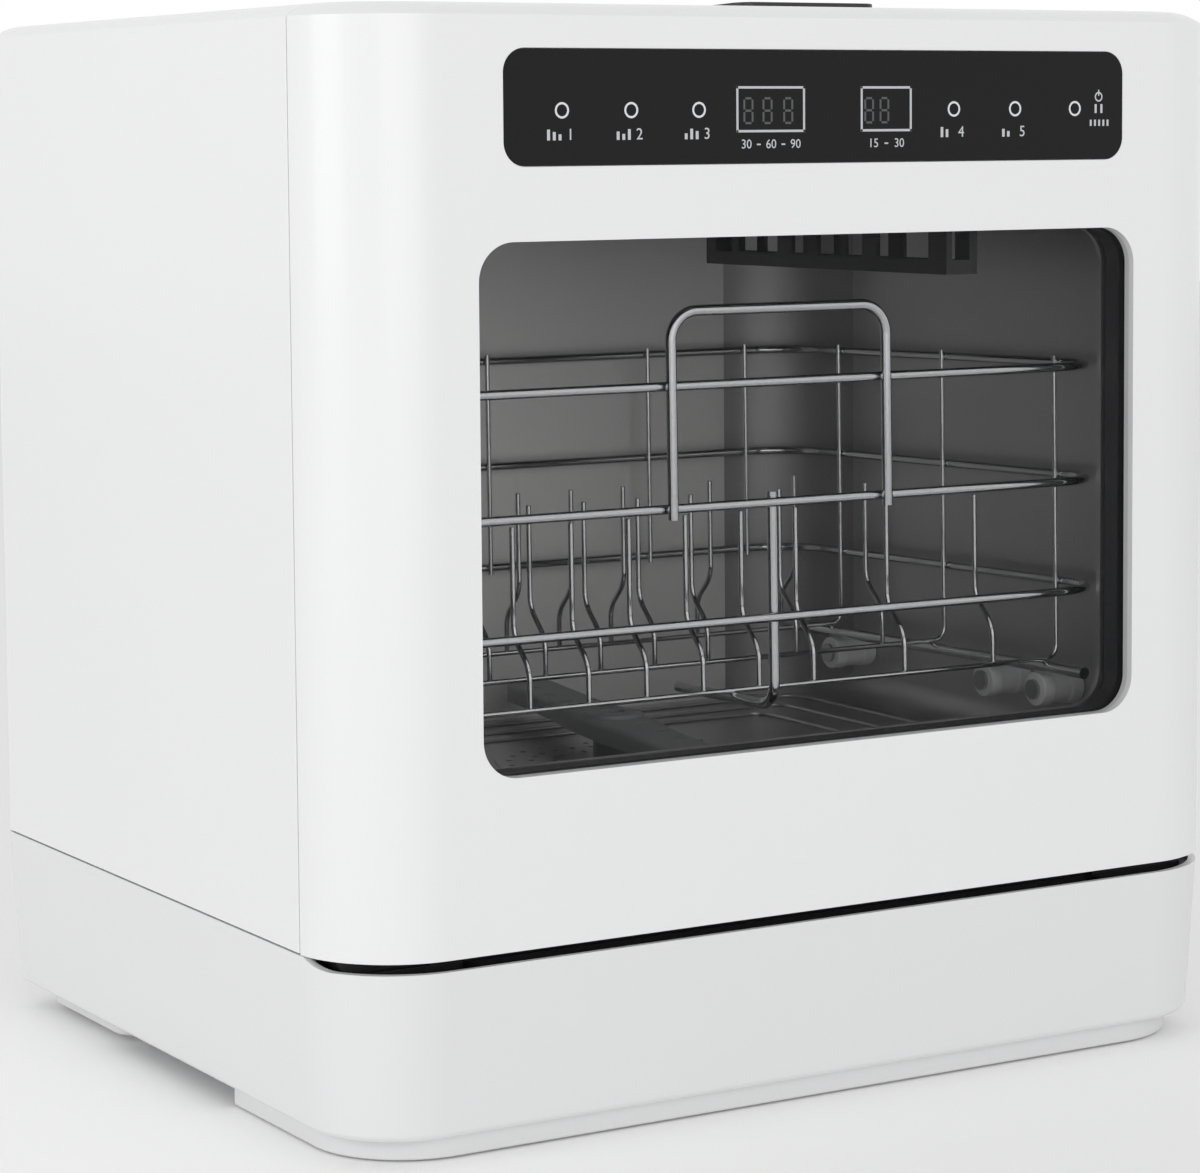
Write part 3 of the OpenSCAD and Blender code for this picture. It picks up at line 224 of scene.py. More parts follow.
class Finish:
    """A material: Object coordinates in, one Principled shader out."""

    def __init__(self, name, colour, **constants):
        self.material = bpy.data.materials.new(name)
        self.material.use_nodes = True
        self.tree = self.material.node_tree
        self.shader = self.tree.nodes["Principled BSDF"]
        self.shader.inputs["Base Color"].default_value = (*colour, 1)
        for key, value in constants.items():
            self.shader.inputs[key.replace("_", " ")].default_value = value
        self.place = self.node("ShaderNodeTexCoord", {}, {}, "Object")

    def node(self, kind, settings, sockets, out=0):
        """A new node: its own settings first, then its sockets, as values or as wires from other nodes."""
        node = self.tree.nodes.new(kind)
        for key, value in settings.items():
            setattr(node, key, value)
        for key, value in sockets.items():
            if isinstance(value, Wire):
                self.tree.links.new(value.socket, node.inputs[key])
            else:
                node.inputs[key].default_value = value
        return Wire(self, node.outputs[out])

    def stretch(self, scale):
        """Object coordinates, stretched by a factor on each axis."""
        return self.node("ShaderNodeMapping", {}, {"Vector": self.place, "Scale": scale})

    def noise(self, scale, detail, where=None):
        """A cloudy pattern from 0 to 1."""
        sockets = {"Vector": where or self.place, "Scale": scale, "Detail": detail}
        return self.node("ShaderNodeTexNoise", {"noise_dimensions": "3D"}, sockets)

    def blend(self, factor, first, second):
        """Mix two colours. A mix node's sockets 6 and 7 are its colours, and output 2 is the mixed one."""
        sockets = {0: factor, 6: (*first, 1), 7: (*second, 1)}
        return self.node("ShaderNodeMix", {"data_type": "RGBA"}, sockets, 2)

    def feed(self, key, value):
        """Wire a value into the shader."""
        self.tree.links.new(value.socket, self.shader.inputs[key])

    def bump(self, height, strength, distance):
        """Wire a height, in metres at full strength, into the shader's normal."""
        sockets = {"Height": height, "Strength": strength, "Distance": distance}
        self.feed("Normal", self.node("ShaderNodeBump", {}, sockets))

    def on(self, piece):
        """Put this finish on a piece, in place of whatever it had."""
        piece.data.materials.clear()
        piece.data.materials.append(self.material)
        return piece


print("finishes can be built")

# %% [markdown]
# ## White shells
# The body is injection-moulded ABS and powder-coated sheet, both white and glossy. Neither is a perfect
# mirror: the gloss wavers over a few millimetres, which painters call orange peel, and fine dust and wiping
# dull it in faint patches. So the colour drifts by one per cent, the roughness drifts more, and a very low
# bump carries the peel.

# %% White finishes
def white_finish(name, tint, roughness, peel, grain=260):
    """Glossy white: a drift in colour, wiped patches in the gloss, and orange peel."""
    finish = Finish(name, tint, IOR=1.5, Coat_Weight=0.25, Coat_Roughness=0.12)
    drift = finish.noise(3.2, 3)
    darker = tuple(v * 0.975 for v in tint)
    finish.feed("Base Color", finish.blend(drift, darker, tint))
    wiped = finish.noise(22, 4, finish.stretch((1, 1, 0.35)))
    finish.feed("Roughness", roughness + (wiped - 0.5) * 0.12)
    finish.bump(finish.noise(grain, 2), peel, 0.0004)
    return finish


door_white = white_finish("white_abs_gloss", (0.86, 0.862, 0.868), 0.3, 0.05)
sheet_white = white_finish("white_powder_coat", (0.86, 0.862, 0.868), 0.36, 0.1, 420)
base_white = white_finish("white_abs_base", (0.80, 0.802, 0.808), 0.34, 0.06)
foot_white = white_finish("white_abs_satin", (0.78, 0.782, 0.788), 0.45, 0.12, 600)
inner_white = white_finish("white_abs_inner", (0.74, 0.742, 0.75), 0.5, 0.15, 600)
print("white finishes ready")

# %% [markdown]
# ## The outline that the shells share
# Seen from above, the machine is a box with two big round front corners and two small rear ones. A block
# with its upright edges bevelled gives that outline, with true arcs. The top is crowned: its face is
# extruded in small steps, each lifted a little less than the one before. An inset would spike at the small
# rear corners, so each corner of a step is shrunk about its own centre instead.

# %% Outline and crown
half_width, half_depth = 215, 171
front_radius, rear_radius = 43.5, 8
crown_foot, crown_height, crown_run = 435, 5, 17
crown_steps, least_radius = 7, 0.8
sheet = 2.5


def outline(name, low, high):
    """A block with the machine's outline between two heights."""
    piece = block(name, (-half_width, -half_depth, low), (half_width, half_depth, high))
    round_edges(piece, front_radius, 26, lambda c, d: abs(d.z) > 0.9 and c.y < 0)
    round_edges(piece, rear_radius, 6, lambda c, d: abs(d.z) > 0.9 and c.y > 0 and abs(c.x) > 200)
    return piece


def crowned(name, low):
    """The outline up to the crown's foot, with the sloped band on top."""
    piece = outline(name, low, crown_foot)
    corners = ((-1, -1, front_radius), (1, -1, front_radius), (-1, 1, rear_radius), (1, 1, rear_radius))
    lift, inset = 0.0, 0.0
    for k in range(1, crown_steps + 1):
        share = k / crown_steps
        higher, further = crown_height * (1 - (1 - share) ** 2.5), crown_run * share
        pick(piece, "FACE", lambda c, n: n.z > 0.9 and c.z > crown_foot + lift - 0.01)
        bpy.ops.mesh.extrude_region_move(TRANSFORM_OT_translate={"value": (0, 0, (higher - lift) * mm)})
        for side, end, radius in corners:
            old, new = max(radius - inset, least_radius), max(radius - further, least_radius)
            level = crown_foot + higher - 0.01
            pick(piece, "VERT", lambda c, n: c.z > level and c.x * side > 0 and c.y * end > 0)
            centre = Vector((side * (half_width - inset - old), end * (half_depth - inset - old), 0)) * mm
            bpy.ops.transform.resize(value=(new / old, new / old, 1), center_override=centre)
            slide = (further + new - inset - old) * mm
            bpy.ops.transform.translate(value=(-side * slide, -end * slide, 0))
        lift, inset = higher, further
    return alone(piece)


def fit(piece, finish, body, slot, *stands_for):
    """Give a piece its finish and its body, and hide the solids that it stands for. The slot is not used."""
    finish.on(piece)
    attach(piece, body)
    if stands_for:
        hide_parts(*stands_for)
    size = [round(v * 1000, 1) for v in piece.dimensions]
    print(piece.name, "is", size, "mm,", len(piece.data.polygons), "faces, on", body)
    return piece


# %% [markdown]
# ## Door skin
# One moulding wraps round both front corners and over the top edge. It starts as the crowned outline, loses
# everything behind the seam, and gets a wall with Solidify. The window, the pocket for the control panel
# and the notches for the hinges are then cut with Boolean cutters, because they are sharp-walled openings
# with known sizes.

# %% Model the door skin
seam_front, seam_back = -131.4, -130.6
door_low, liner_y = 79.8, -147
hinge_x, notch_half = 165, 5
window = ((-156, 146.6), (156, 350), 15)
panel = ((-144.6, 378.4), (149.4, 422.4), 9)


def slab(name, area, front, back, grow=0.0):
    """A rounded slab in the door's face: an area of two corners and a radius, grown by some millimetres."""
    (x0, z0), (x1, z1), radius = area
    return rounded(name, (x0 - grow, front, z0 - grow), (x1 + grow, back, z1 + grow), radius + grow, 1, 14)


skin = crowned("door_skin", door_low)
slice_off(skin, (0, seam_front, 0), (0, 1, 0))
pick(skin, "FACE", lambda c, n: n.z < -0.9)
bpy.ops.mesh.bisect(plane_co=Vector((0, liner_y, 0)) * mm, plane_no=(0, 1, 0))
alone(skin)
pick(skin, "FACE", lambda c, n: n.z < -0.9 and c.y > liner_y)
bpy.ops.mesh.delete(type="FACE")
alone(skin)
apply(skin, ("SOLIDIFY", {"thickness": sheet * mm, "offset": -1, "use_even_offset": True}))
carve(skin, slab("sleeve", window, -170, -165.1, 2.5), "UNION")
carve(skin, slab("panel_seat", panel, -170, -167, 3), "UNION")
carve(skin, slab("window_cut", window, -180, -160))
carve(skin, slab("panel_cut", panel, -180, -169.2, 0.25))
carve(skin, slab("panel_back", panel, -180, -160, -5))
for side in (-1, 1):
    middle = side * hinge_x
    carve(skin, block("notch", (middle - notch_half, -168.1, 70), (middle + notch_half, -140, 84)))
soften(skin, 0.7)
fit(skin, door_white, "door", "door_shell", "door_shell")

# %% [markdown]
# ## Cabinet sides and top
# Behind the seam the same outline goes on. The whole wrap is modelled once and copied three times: each
# copy is cut down to the left side, the right side or the top, so the joints between them are real edges
# that catch a fine line of light.

# %% Model the cabinet
rear_flange = 16
wrap = crowned("wrap", 80.2)
slice_off(wrap, (0, seam_back, 0), (0, -1, 0))
pick(wrap, "FACE", lambda c, n: n.z < -0.9 or (n.y > 0.99 and abs(c.x) < 200))
bpy.ops.mesh.delete(type="FACE")
alone(wrap)
for side, name in ((-1, "left"), (1, "right")):
    wall = copy_of(wrap, "side_" + name)
    slice_off(wall, (0, 0, crown_foot), (0, 0, 1))
    slice_off(wall, (side * 100, 0, 0), (-side, 0, 0))
    pick(wall, "EDGE", lambda c, d: c.y > half_depth - 0.1 and abs(d.z) > 0.9)
    bpy.ops.mesh.extrude_edges_move(TRANSFORM_OT_translate={"value": (-side * rear_flange * mm, 0, 0)})
    alone(wall)
    apply(wall, ("SOLIDIFY", {"thickness": sheet * mm, "offset": -1, "use_even_offset": True}))
    soften(wall, 0.45)
    fit(wall, sheet_white, "cabinet", name + "_side_panel", name + "_side_panel")
top = copy_of(wrap, "top_skin")
slice_off(top, (0, 0, crown_foot), (0, 0, -1))
apply(top, ("SOLIDIFY", {"thickness": sheet * mm, "offset": -1, "use_even_offset": True}))
carve(top, rounded("mouth", (5, -101, 400), (83, -37, 460), 9, 2))
soften(top, 0.45)
fit(top, door_white, "cabinet", "top_cover", "top_cover")
bpy.data.objects.remove(wrap)

# %% [markdown]
# ## Base
# The base is the tray that carries everything: it leans in towards the floor, and a flat lip stands in
# front of the door. The lean is one inset with depth, which moves the lower face down and inwards at once.
# The same form, made a little smaller, hollows it out. A shell from Solidify would cross itself at the
# small rear corners, and Boolean cuts fail on such walls. The room for the door is a cutter whose lower
# rear edge is beveled, so the lip curves up to the cabinet behind it.

# %% Model the base
deck_low, skirt_low, foot_low = 79.5, 9.8, 0.8
lip_top, skirt_wall, lean, lean_drop = 75.4, 2.6, 4.2, 66.2


def shrunk(name, low, high, inset):
    """The outline made smaller all round by an inset, between two heights."""
    piece = outline(name, low, high)
    flat = (half_width - inset) / half_width, (half_depth - inset) / half_depth
    piece.data.transform(Matrix.Diagonal((flat[0], flat[1], 1, 1)))
    return piece


def leaned(name, top, inset):
    """The shrunk outline up to a top, leaning in below the deck towards the floor."""
    piece = shrunk(name, deck_low - 0.5, top, inset)
    pick(piece, "FACE", lambda c, n: n.z < -0.9)
    bpy.ops.mesh.inset(thickness=lean * mm, depth=lean_drop * mm, use_even_offset=True)
    return piece


skirt = leaned("base_skirt", deck_low, 0)
for inset, drop in ((1.0, 1.6), (2.0, 1.4)):
    bpy.ops.mesh.inset(thickness=inset * mm, depth=drop * mm, use_even_offset=True)
alone(skirt)
hollow = leaned("base_hollow", 90, skirt_wall)
alone(hollow)
carve(skirt, hollow)
carve(skirt, shrunk("underside", 5, 20, 11))
carve(skirt, block("connection_bay", (35, 150, 20), (185, 175, 68)))
room = block("door_room", (-217, -173, lip_top), (217, seam_front + 0.2, 80.6))
pick(room, "EDGE", lambda c, d: c.y > -140 and abs(c.z - lip_top) < 0.1)
bpy.ops.transform.translate(value=(0, -9 * mm, 0))
alone(room)
round_edges(room, 7, 6, lambda c, d: -143 < c.y < -140 and abs(c.z - lip_top) < 0.1)
carve(skirt, room)
soften(skirt, 0.5, 32)
fit(skirt, base_white, "cabinet", "base_housing", "base_housing")

# %% [markdown]
# ## Corners of the drip gutter
# Behind the lip runs a black gutter, which catches what drips from the door and keeps the gap under it
# dark. Its straight middle is an exact solid. The two ends that follow the round corners are the same
# outline again, shrunk to sit inside the lip, with a trough carved along it and the middle cut away.

# %% Model the gutter's corners
gutter = shrunk("gutter_corners", 66.6, 73.4, 3.1)
slice_off(gutter, (0, seam_front - 14.2, 0), (0, 1, 0), fill=True)
trough = shrunk("trough", 69, 80, 5.6)
slice_off(trough, (0, seam_front - 17, 0), (0, 1, 0), fill=True)
carve(gutter, trough)
carve(gutter, block("middle", (-153.4, -180, 60), (153.4, -130, 80)))
soften(gutter, 0.4, 40, 2)

# %% [markdown]
# ## Plinth and feet
# A low plinth closes the front and runs back along the sides. Two long rear feet have round corners. Both
# are short, but they meet the floor in view, so their edges are rounded like those of a thick moulding.

# %% Model the plinth and the feet
plinth = shrunk("plinth", foot_low, skirt_low, 10.4)
slice_off(plinth, (0, -47, 0), (0, 1, 0), fill=True)
carve(plinth, shrunk("hollow", -5, 7, 13))
soften(plinth, 1.6, 40, 4)
fit(plinth, foot_white, "cabinet", "front_plinth", "front_plinth")
feet = []
for side in (-1, 1):
    foot = rounded("foot_part", (side * 180 - 22, 68, 3), (side * 180 + 22, 156, skirt_low), 12, 2)
    pick(foot, "FACE", lambda c, n: n.z < -0.9)
    bpy.ops.mesh.inset(thickness=3 * mm, depth=0)
    bpy.ops.mesh.inset(thickness=0.5 * mm, depth=-4.5 * mm)
    feet.append(alone(foot))
feet = joined("feet_rear", feet)
soften(feet, 1.2, 40, 4)
fit(feet, foot_white, "cabinet", "rear_feet", "rear_feet")

# %% [markdown]
# ## Control panel
# Behind a dark glossy window sit six round touch keys and two small displays. The keys have no travel, so
# each is a printed ring, raised by a hair on the glass. One ring is a torus, squashed to a flat band and
# copied to every place. The icons inside and the small labels below stay generic: plain pictograms and
# numbers.

# %% Panel finishes
panel_black = Finish("panel_black", (0.016, 0.016, 0.017), IOR=1.49, Specular_IOR_Level=0.12)
smear = panel_black.noise(9, 4, panel_black.stretch((0.4, 1, 1)))
panel_black.feed("Base Color", panel_black.blend(smear, (0.011, 0.011, 0.012), (0.015, 0.015, 0.016)))
panel_black.feed("Roughness", 0.16 + (smear - 0.5) * 0.14)
panel_black.bump(panel_black.noise(180, 2), 0.02, 0.0003)


def ink(name, colour, glow=0.0):
    """Printed ink on the panel, a little uneven, with a faint glow where asked."""
    finish = Finish(name, colour, Roughness=0.55, Emission_Strength=glow)
    uneven = finish.noise(900, 2)
    pale = tuple(min(1, v * 1.12) for v in colour)
    finish.feed("Base Color", finish.blend(uneven, colour, pale))
    finish.feed("Emission Color", finish.blend(uneven, colour, pale))
    finish.bump(uneven, 0.1, 0.00005)
    return finish


ring_ink = ink("ring_ink", (0.62, 0.63, 0.65), 0.1)
label_ink = ink("label_ink", (0.5, 0.51, 0.53), 0.05)
frame_ink = ink("display_frame_ink", (0.5, 0.51, 0.53))
ghost_ink = ink("display_ghost", (0.075, 0.078, 0.08))
lens_front = -171.2


def copied(piece, places):
    """Copies of a mark, moved in its mesh by (x, z) in millimetres; the mark itself is dropped."""
    made = []
    for k, (x, z) in enumerate(places):
        twin = copy_of(piece, piece.name + "_" + str(k))
        twin.data.transform(Matrix.Translation(Vector((x, 0, z)) * mm))
        made.append(twin)
    bpy.data.objects.remove(piece)
    return made


def flat_ring(name, outer, inner, squash=0.12):
    """A torus lying in the door's face, flattened into a printed band."""
    alone()
    bpy.ops.mesh.primitive_torus_add(
        major_segments=64, minor_segments=8, rotation=(math.pi / 2, 0, 0),
        major_radius=(outer + inner) / 2 * mm, minor_radius=(outer - inner) / 2 * mm)
    ring = bpy.context.object
    ring.scale = (1, 1, squash)
    bpy.ops.object.transform_apply(location=True, rotation=True, scale=True)
    ring.data.transform(Matrix.Translation((0, lens_front * mm, 0)))
    ring.name = ring.data.name = name
    return ring


def bar_mark(low, high, thick=0.12):
    """A thin bar of ink on the panel, from one (x, z) corner to the other."""
    mark = block("mark", (low[0], lens_front - thick, low[1]), (high[0], lens_front + 0.1, high[1]))
    apply(mark, ("BEVEL", {"width": 0.08 * mm, "segments": 2}))
    return mark


# %% Model the panel's keys, displays and marks
nodes["control_lens"].data.materials.clear()
panel_black.on(nodes["control_lens"])
key_x = (-119.6, -89.0, -58.4, 63.1, 93.9, 124.6)
key_z = 399.2
rings = joined("key_rings", copied(flat_ring("ring", 3.1, 2.25), [(x, key_z) for x in key_x]))
soften(rings, 0.02)
fit(rings, ring_ink, "door", "control_lens")

displays = ((-41.3, 390.4, -9.2, 408.3), (17.4, 390.4, 42.2, 408.3))
frames, line = [], 0.95
for x0, z0, x1, z1 in displays:
    for low, high in (((x0, z0), (x1, z0 + line)), ((x0, z1 - line), (x1, z1)),
                      ((x0, z0), (x0 + line, z1)), ((x1 - line, z0), (x1, z1))):
        frames.append(bar_mark(low, high))
fit(joined("display_frames", frames), frame_ink, "door", "control_lens")


def segment(points):
    """One segment of a digit, as a thin bar between two (x, z) points."""
    (x0, z0), (x1, z1) = points
    half, gap = 0.45, 0.5
    if z0 == z1:
        return bar_mark((x0 + gap, z0 - half), (x1 - gap, z0 + half), 0.05)
    return bar_mark((x0 - half, z0 + gap), (x0 + half, z1 - gap), 0.05)


def digit(x, z, w=3.8, h=9.6):
    """All seven segments of a switched-off digit, from its lower left corner."""
    a, b, m, t = (x, z), (x + w, z), z + h / 2, z + h
    lines = [(a, b), ((x, m), (x + w, m)), ((x, t), (x + w, t)), (a, (x, m)), ((x, m), (x, t)),
             (b, (x + w, m)), ((x + w, m), (x + w, t))]
    return [segment(line) for line in lines]


ghosts = []
for x in (-37.6, -28.7, -19.0, 19.6, 27.0):
    ghosts += digit(x, 394.0)
fit(joined("ghost_digits", ghosts), ghost_ink, "door", "display_modules")


def number(text, x, z, size):
    """A plain number, raised a hair from the panel, centred on (x, z)."""
    alone()
    bpy.ops.object.text_add(rotation=(math.pi / 2, 0, 0))
    mark = bpy.context.object
    mark.data.body, mark.data.size, mark.data.extrude = text, size * mm, 0.04 * mm
    mark.data.align_x, mark.data.align_y = "CENTER", "CENTER"
    mark.data.resolution_u = 4
    bpy.ops.object.convert(target="MESH")
    mark = bpy.context.object
    bpy.ops.object.transform_apply(location=True, rotation=True, scale=True)
    mark.data.transform(Matrix.Translation(Vector((x, lens_front - 0.04, z)) * mm))
    pick(mark, "FACE", lambda c, n: True)
    bpy.ops.mesh.remove_doubles(threshold=0.000002)
    return alone(mark)


marks = []
for k, x in enumerate(key_x[:5]):
    marks.append(number(str(k + 1), x + 3.6, 389.9, 6.2))
    for j in range(3 if k < 3 else 2):
        left, tall = x - 6.6 + 2.5 * j, 392.0 - 0.9 * ((j + k) % 3)
        marks.append(bar_mark((left, 387.9), (left + 1.3, tall), 0.06))
for middle, values, step in ((-25.2, (30, 60, 90), 11.5), (29.8, (15, 30), 12.5)):
    first = middle - step * (len(values) - 1) / 2
    for j, value in enumerate(values):
        marks.append(number(str(value), first + step * j, 385.7, 5.0))
        if j:
            x = first + step * (j - 0.5)
            marks.append(bar_mark((x - 0.9, 385.4), (x + 0.9, 386.0), 0.06))
power = flat_ring("power", 2.0, 1.4)
power.data.transform(Matrix.Translation(Vector((137.0, 0, 404.0)) * mm))
marks += [power, bar_mark((136.7, 404.4), (137.3, 406.9), 0.08)]
marks += [bar_mark((x, 397.3), (x + 1.1, 401.0), 0.06) for x in (134.9, 137.9)]
marks += [bar_mark((132.4 + 2.2 * j, 392.0), (133.4 + 2.2 * j, 394.6), 0.06) for j in range(5)]
fit(joined("panel_marks", marks), label_ink, "door", "control_lens")

# %% [markdown]
# ## Window
# The door has two panes with an air gap, held by a black frame. The outer pane is a wide plate with a
# raised field that fills the window almost flush. Clear glass would need many light bounces, so the panes
# get a thin smoke tint through Alpha instead. Alpha rises towards the grazing angle, as a reflection does.

# %% Glass, rubber and frame
glass = Finish("smoke_glass", (0.03, 0.032, 0.034), Roughness=0.03, IOR=1.5)
edge_on = glass.node("ShaderNodeLayerWeight", {}, {"Blend": 0.35})
wipes = glass.noise(6, 4, glass.stretch((1, 1, 0.3)))
glass.feed("Alpha", 0.03 + edge_on * 0.08 + (wipes - 0.5) * 0.02)
glass.feed("Roughness", 0.03 + wipes * 0.03)

# %% Model the two panes
panes = slab("door_panes", window, -165.1, -161.1, 6)
field = slab("pane_field", window, -168.9, -164.6, -0.45)
round_edges(field, 0.7, 3, lambda c, d: c.y < -168.8)
carve(panes, field, "UNION")
inner_pane = slab("inner_pane", window, -152.5, -149.5, 6)
panes = joined("door_panes", [panes, inner_pane])
soften(panes, 0.25, 50, 2)
fit(panes, glass, "door", "door_glass", "door_glass")

# %% [markdown]
# ## Plastics, rubber and metals
# Moulds are spark-eroded, which leaves a fine grain on plastic and rubber. Sheet metal is brushed or
# rolled, which leaves long faint lines: a noise that is stretched along the brushing gives them. The tub's
# steel is painted lighter on its rear wall and darker in its rear corners: painted light and painted shade.
# The rear wall is matt, and painted paler low down, so its colour also follows the height: painted light.

# %% Finishes for plastic and metal
def moulded(name, colour, roughness, grain, depth):
    """Moulded plastic or rubber: a fine eroded grain, and a slow drift in colour and roughness."""
    finish = Finish(name, colour)
    cloud = finish.noise(14, 3)
    paler = tuple(min(1.0, v * 1.1 + 0.004) for v in colour)
    finish.feed("Base Color", finish.blend(cloud, colour, paler))
    texture = finish.noise(grain, 3)
    finish.feed("Roughness", roughness + (cloud - 0.5) * 0.12 + (texture - 0.5) * 0.1)
    finish.bump(texture, 0.25, depth)
    return finish


black_plastic = moulded("black_plastic", (0.025, 0.025, 0.027), 0.42, 900, 0.00012)
fit(gutter, black_plastic, "cabinet", "drip_trough")
black_rubber = moulded("black_rubber", (0.018, 0.018, 0.018), 0.7, 1500, 0.0001)
grey_plastic = moulded("grey_plastic", (0.3, 0.305, 0.315), 0.45, 800, 0.00012)
roller_white = moulded("roller_nylon", (0.86, 0.865, 0.875), 0.4, 700, 0.0001)
tank_plastic = moulded("tank_plastic", (0.62, 0.63, 0.65), 0.35, 500, 0.0002)


def metal(name, colour, roughness, brush=(1, 1, 1), lines=400, depth=0.00002, swing=0.16, shine=1.0):
    """Metal with lines brushed across the axis that is stretched most. A lower shine scatters more light."""
    finish = Finish(name, colour, Metallic=shine)
    strokes = finish.noise(lines, 3, finish.stretch(brush))
    cloud = finish.noise(7, 3)
    finish.feed("Base Color", finish.blend(cloud, tuple(v * 0.92 for v in colour), colour))
    finish.feed("Roughness", roughness + (strokes - 0.5) * swing + (cloud - 0.5) * 0.08)
    finish.bump(strokes, 0.2, depth)
    return finish


tub_steel = metal("tub_steel", (0.54, 0.538, 0.54), 0.36, (0.02, 0.02, 1), swing=0.08, shine=0.9)
# The rear corners: the tub's steel painted darker, as painted shade.
corner_steel_painted_shade = metal("corner_steel_painted_shade", (0.46, 0.455, 0.455), 0.55, (0.02, 0.02, 1), swing=0.08)
# The rear wall: the tub's steel painted lighter, as painted light, and lighter still towards the bottom.
upper_back_painted_light, lower_back_painted_light = (0.72, 0.715, 0.71), (0.98, 0.975, 0.96)
back_steel_painted_light = metal("back_wall_steel_painted_light", upper_back_painted_light, 0.5, (0.02, 0.02, 1), swing=0.08, shine=0.6)
height = back_steel_painted_light.node("ShaderNodeSeparateXYZ", {}, {"Vector": back_steel_painted_light.place}, 2)
# Painted light: the wall's colour brightens towards the bottom.
painted_light_low_down = back_steel_painted_light.node("ShaderNodeMapRange", {}, {"Value": height, "From Min": 0.35, "From Max": 0.2})
back_steel_painted_light.feed("Base Color", back_steel_painted_light.blend(painted_light_low_down, upper_back_painted_light, lower_back_painted_light))
pressed_steel = metal("pressed_steel", (0.5, 0.5, 0.51), 0.32, (0.05, 1, 1))
zinc_sheet = metal("zinc_sheet", (0.42, 0.43, 0.45), 0.45, (0.6, 1, 1), 120)
chrome = metal("rack_chrome", (0.62, 0.625, 0.635), 0.14, (1, 1, 1), 90, 0.00001, 0.08)
print("inner finishes ready")

# %% [markdown]
# ## Tines
# Thirty tines stand on three wires. Each is one wire with two soft bends, which a stamping tool makes with
# a radius. The path is a bare polyline mesh: its corners are rounded with a bevel on vertices, and a curve
# gives it a round section. Then it is copied along the rows, and the whole set is tilted with the rack.

# %% Model one tine and copy it
rack_pivot, rack_tilt = Vector((0, -138, 160)) * mm, Matrix.Rotation(math.radians(-1), 4, "X")
rack_place = Matrix.Translation(rack_pivot) @ rack_tilt @ Matrix.Translation(-rack_pivot)


def bent_wire(name, points, bend, radius):
    """A round wire along a path in millimetres, with round bends and softened ends."""
    path = bpy.data.meshes.new(name)
    path.from_pydata([Vector(p) * mm for p in points], [(k, k + 1) for k in range(len(points) - 1)], [])
    piece = bpy.data.objects.new(name, path)
    bpy.context.scene.collection.objects.link(piece)
    last = Vector(points[0]), Vector(points[-1])
    pick(piece, "VERT", lambda c, n: min((c - end).length for end in last) > 0.1)
    bpy.ops.mesh.bevel(offset=bend * mm, segments=5, affect="VERTICES")
    alone(piece)
    bpy.ops.object.convert(target="CURVE")
    piece = bpy.context.object
    piece.data.bevel_depth, piece.data.bevel_resolution, piece.data.use_fill_caps = radius * mm, 2, True
    bpy.ops.object.convert(target="MESH")
    piece = bpy.context.object
    pick(piece, "FACE", lambda c, n: True)
    bpy.ops.mesh.remove_doubles(threshold=0.00001)
    return soften(piece, 0.35, 60, 2)


tine_xs = [40.5 - 27.5 * k for k in range(8)] + [87.5, 134.5]
row_ys = ((-103, 1), (-20, 1), (63, -1))
tine_foot, tine_height, tine_step = 160.85, 72.5, 12.5
tines = []
for y, way in row_ys:
    profile = [(0, y, 0), (0, y, 16), (0, y + way * tine_step, 28), (0, y + way * tine_step, tine_height)]
    first = bent_wire("tine", [(x, v, tine_foot + z) for x, v, z in profile], 5, 1.15)
    for x in tine_xs:
        twin = copy_of(first, "tine_copy")
        twin.data.transform(Matrix.Translation((x * mm, 0, 0)))
        tines.append(twin)
    bpy.data.objects.remove(first)
tines = joined("tines", tines)
tines.data.transform(rack_place)
fit(tines, chrome, "rack", "rack_tines", "rack_tines")

# %% [markdown]
# ## Rollers
# Each roller is a nylon wheel, turned on a lathe in shape: a hub, a thin web with a recess, and a tread
# with rounded edges. Spin does the turning. The profile is drawn once in the YZ plane, spun about the X
# axis, and copied to all six places.

# %% Spin one roller and copy it
def spun(name, profile, steps=40):
    """A closed profile of (along, radius) points in millimetres, spun about the X axis."""
    mesh = bpy.data.meshes.new(name)
    count = len(profile)
    corners = [Vector((along, 0, radius)) * mm for along, radius in profile]
    mesh.from_pydata(corners, [(k, (k + 1) % count) for k in range(count)], [])
    piece = bpy.data.objects.new(name, mesh)
    bpy.context.scene.collection.objects.link(piece)
    pick(piece, "EDGE", lambda c, d: True)
    bpy.ops.mesh.spin(steps=steps, angle=2 * math.pi, center=(0, 0, 0), axis=(1, 0, 0))
    bpy.ops.mesh.select_all(action="SELECT")
    bpy.ops.mesh.remove_doubles(threshold=0.00002)
    bpy.ops.mesh.normals_make_consistent(inside=False)
    return alone(piece)


wheel = spun("wheel", [
    (0, 3.4), (0, 5.2), (-3, 5.6), (-3, 6.4), (0, 6.7), (0, 7.3), (-0.6, 7.5),
    (-6, 7.5), (-7, 6.9), (-15, 6.9), (-16, 7.5), (-21.4, 7.5), (-22, 7.3), (-22, 3.4)])
soften(wheel, 0.25, 30, 2)
wheel_end, axle_z = 183.7, 146.15
for name, y in (("front_rollers", -97), ("middle_rollers", -59), ("rear_rollers", 62)):
    pair = []
    for side in (-1, 1):
        twin = copy_of(wheel, name + "_wheel")
        turn = Matrix.Identity(4) if side > 0 else Matrix.Rotation(math.pi, 4, "Z")
        axle = Matrix.Translation(Vector((side * wheel_end, y, axle_z)) * mm)
        twin.data.transform(rack_place @ axle @ turn)
        pair.append(twin)
    fit(joined(name + "_turned", pair), roller_white, name, name, name)
bpy.data.objects.remove(wheel)

# %% [markdown]
# ## Spray arm
# The arm is a long moulding that turns on a post, wider in the middle, with round ends and soft upper
# edges. A block is divided along its length, its middle is scaled up, and its edges are beveled. A spun hub
# is joined on with a Boolean, and the jets are small slots, cut one by one along both halves.

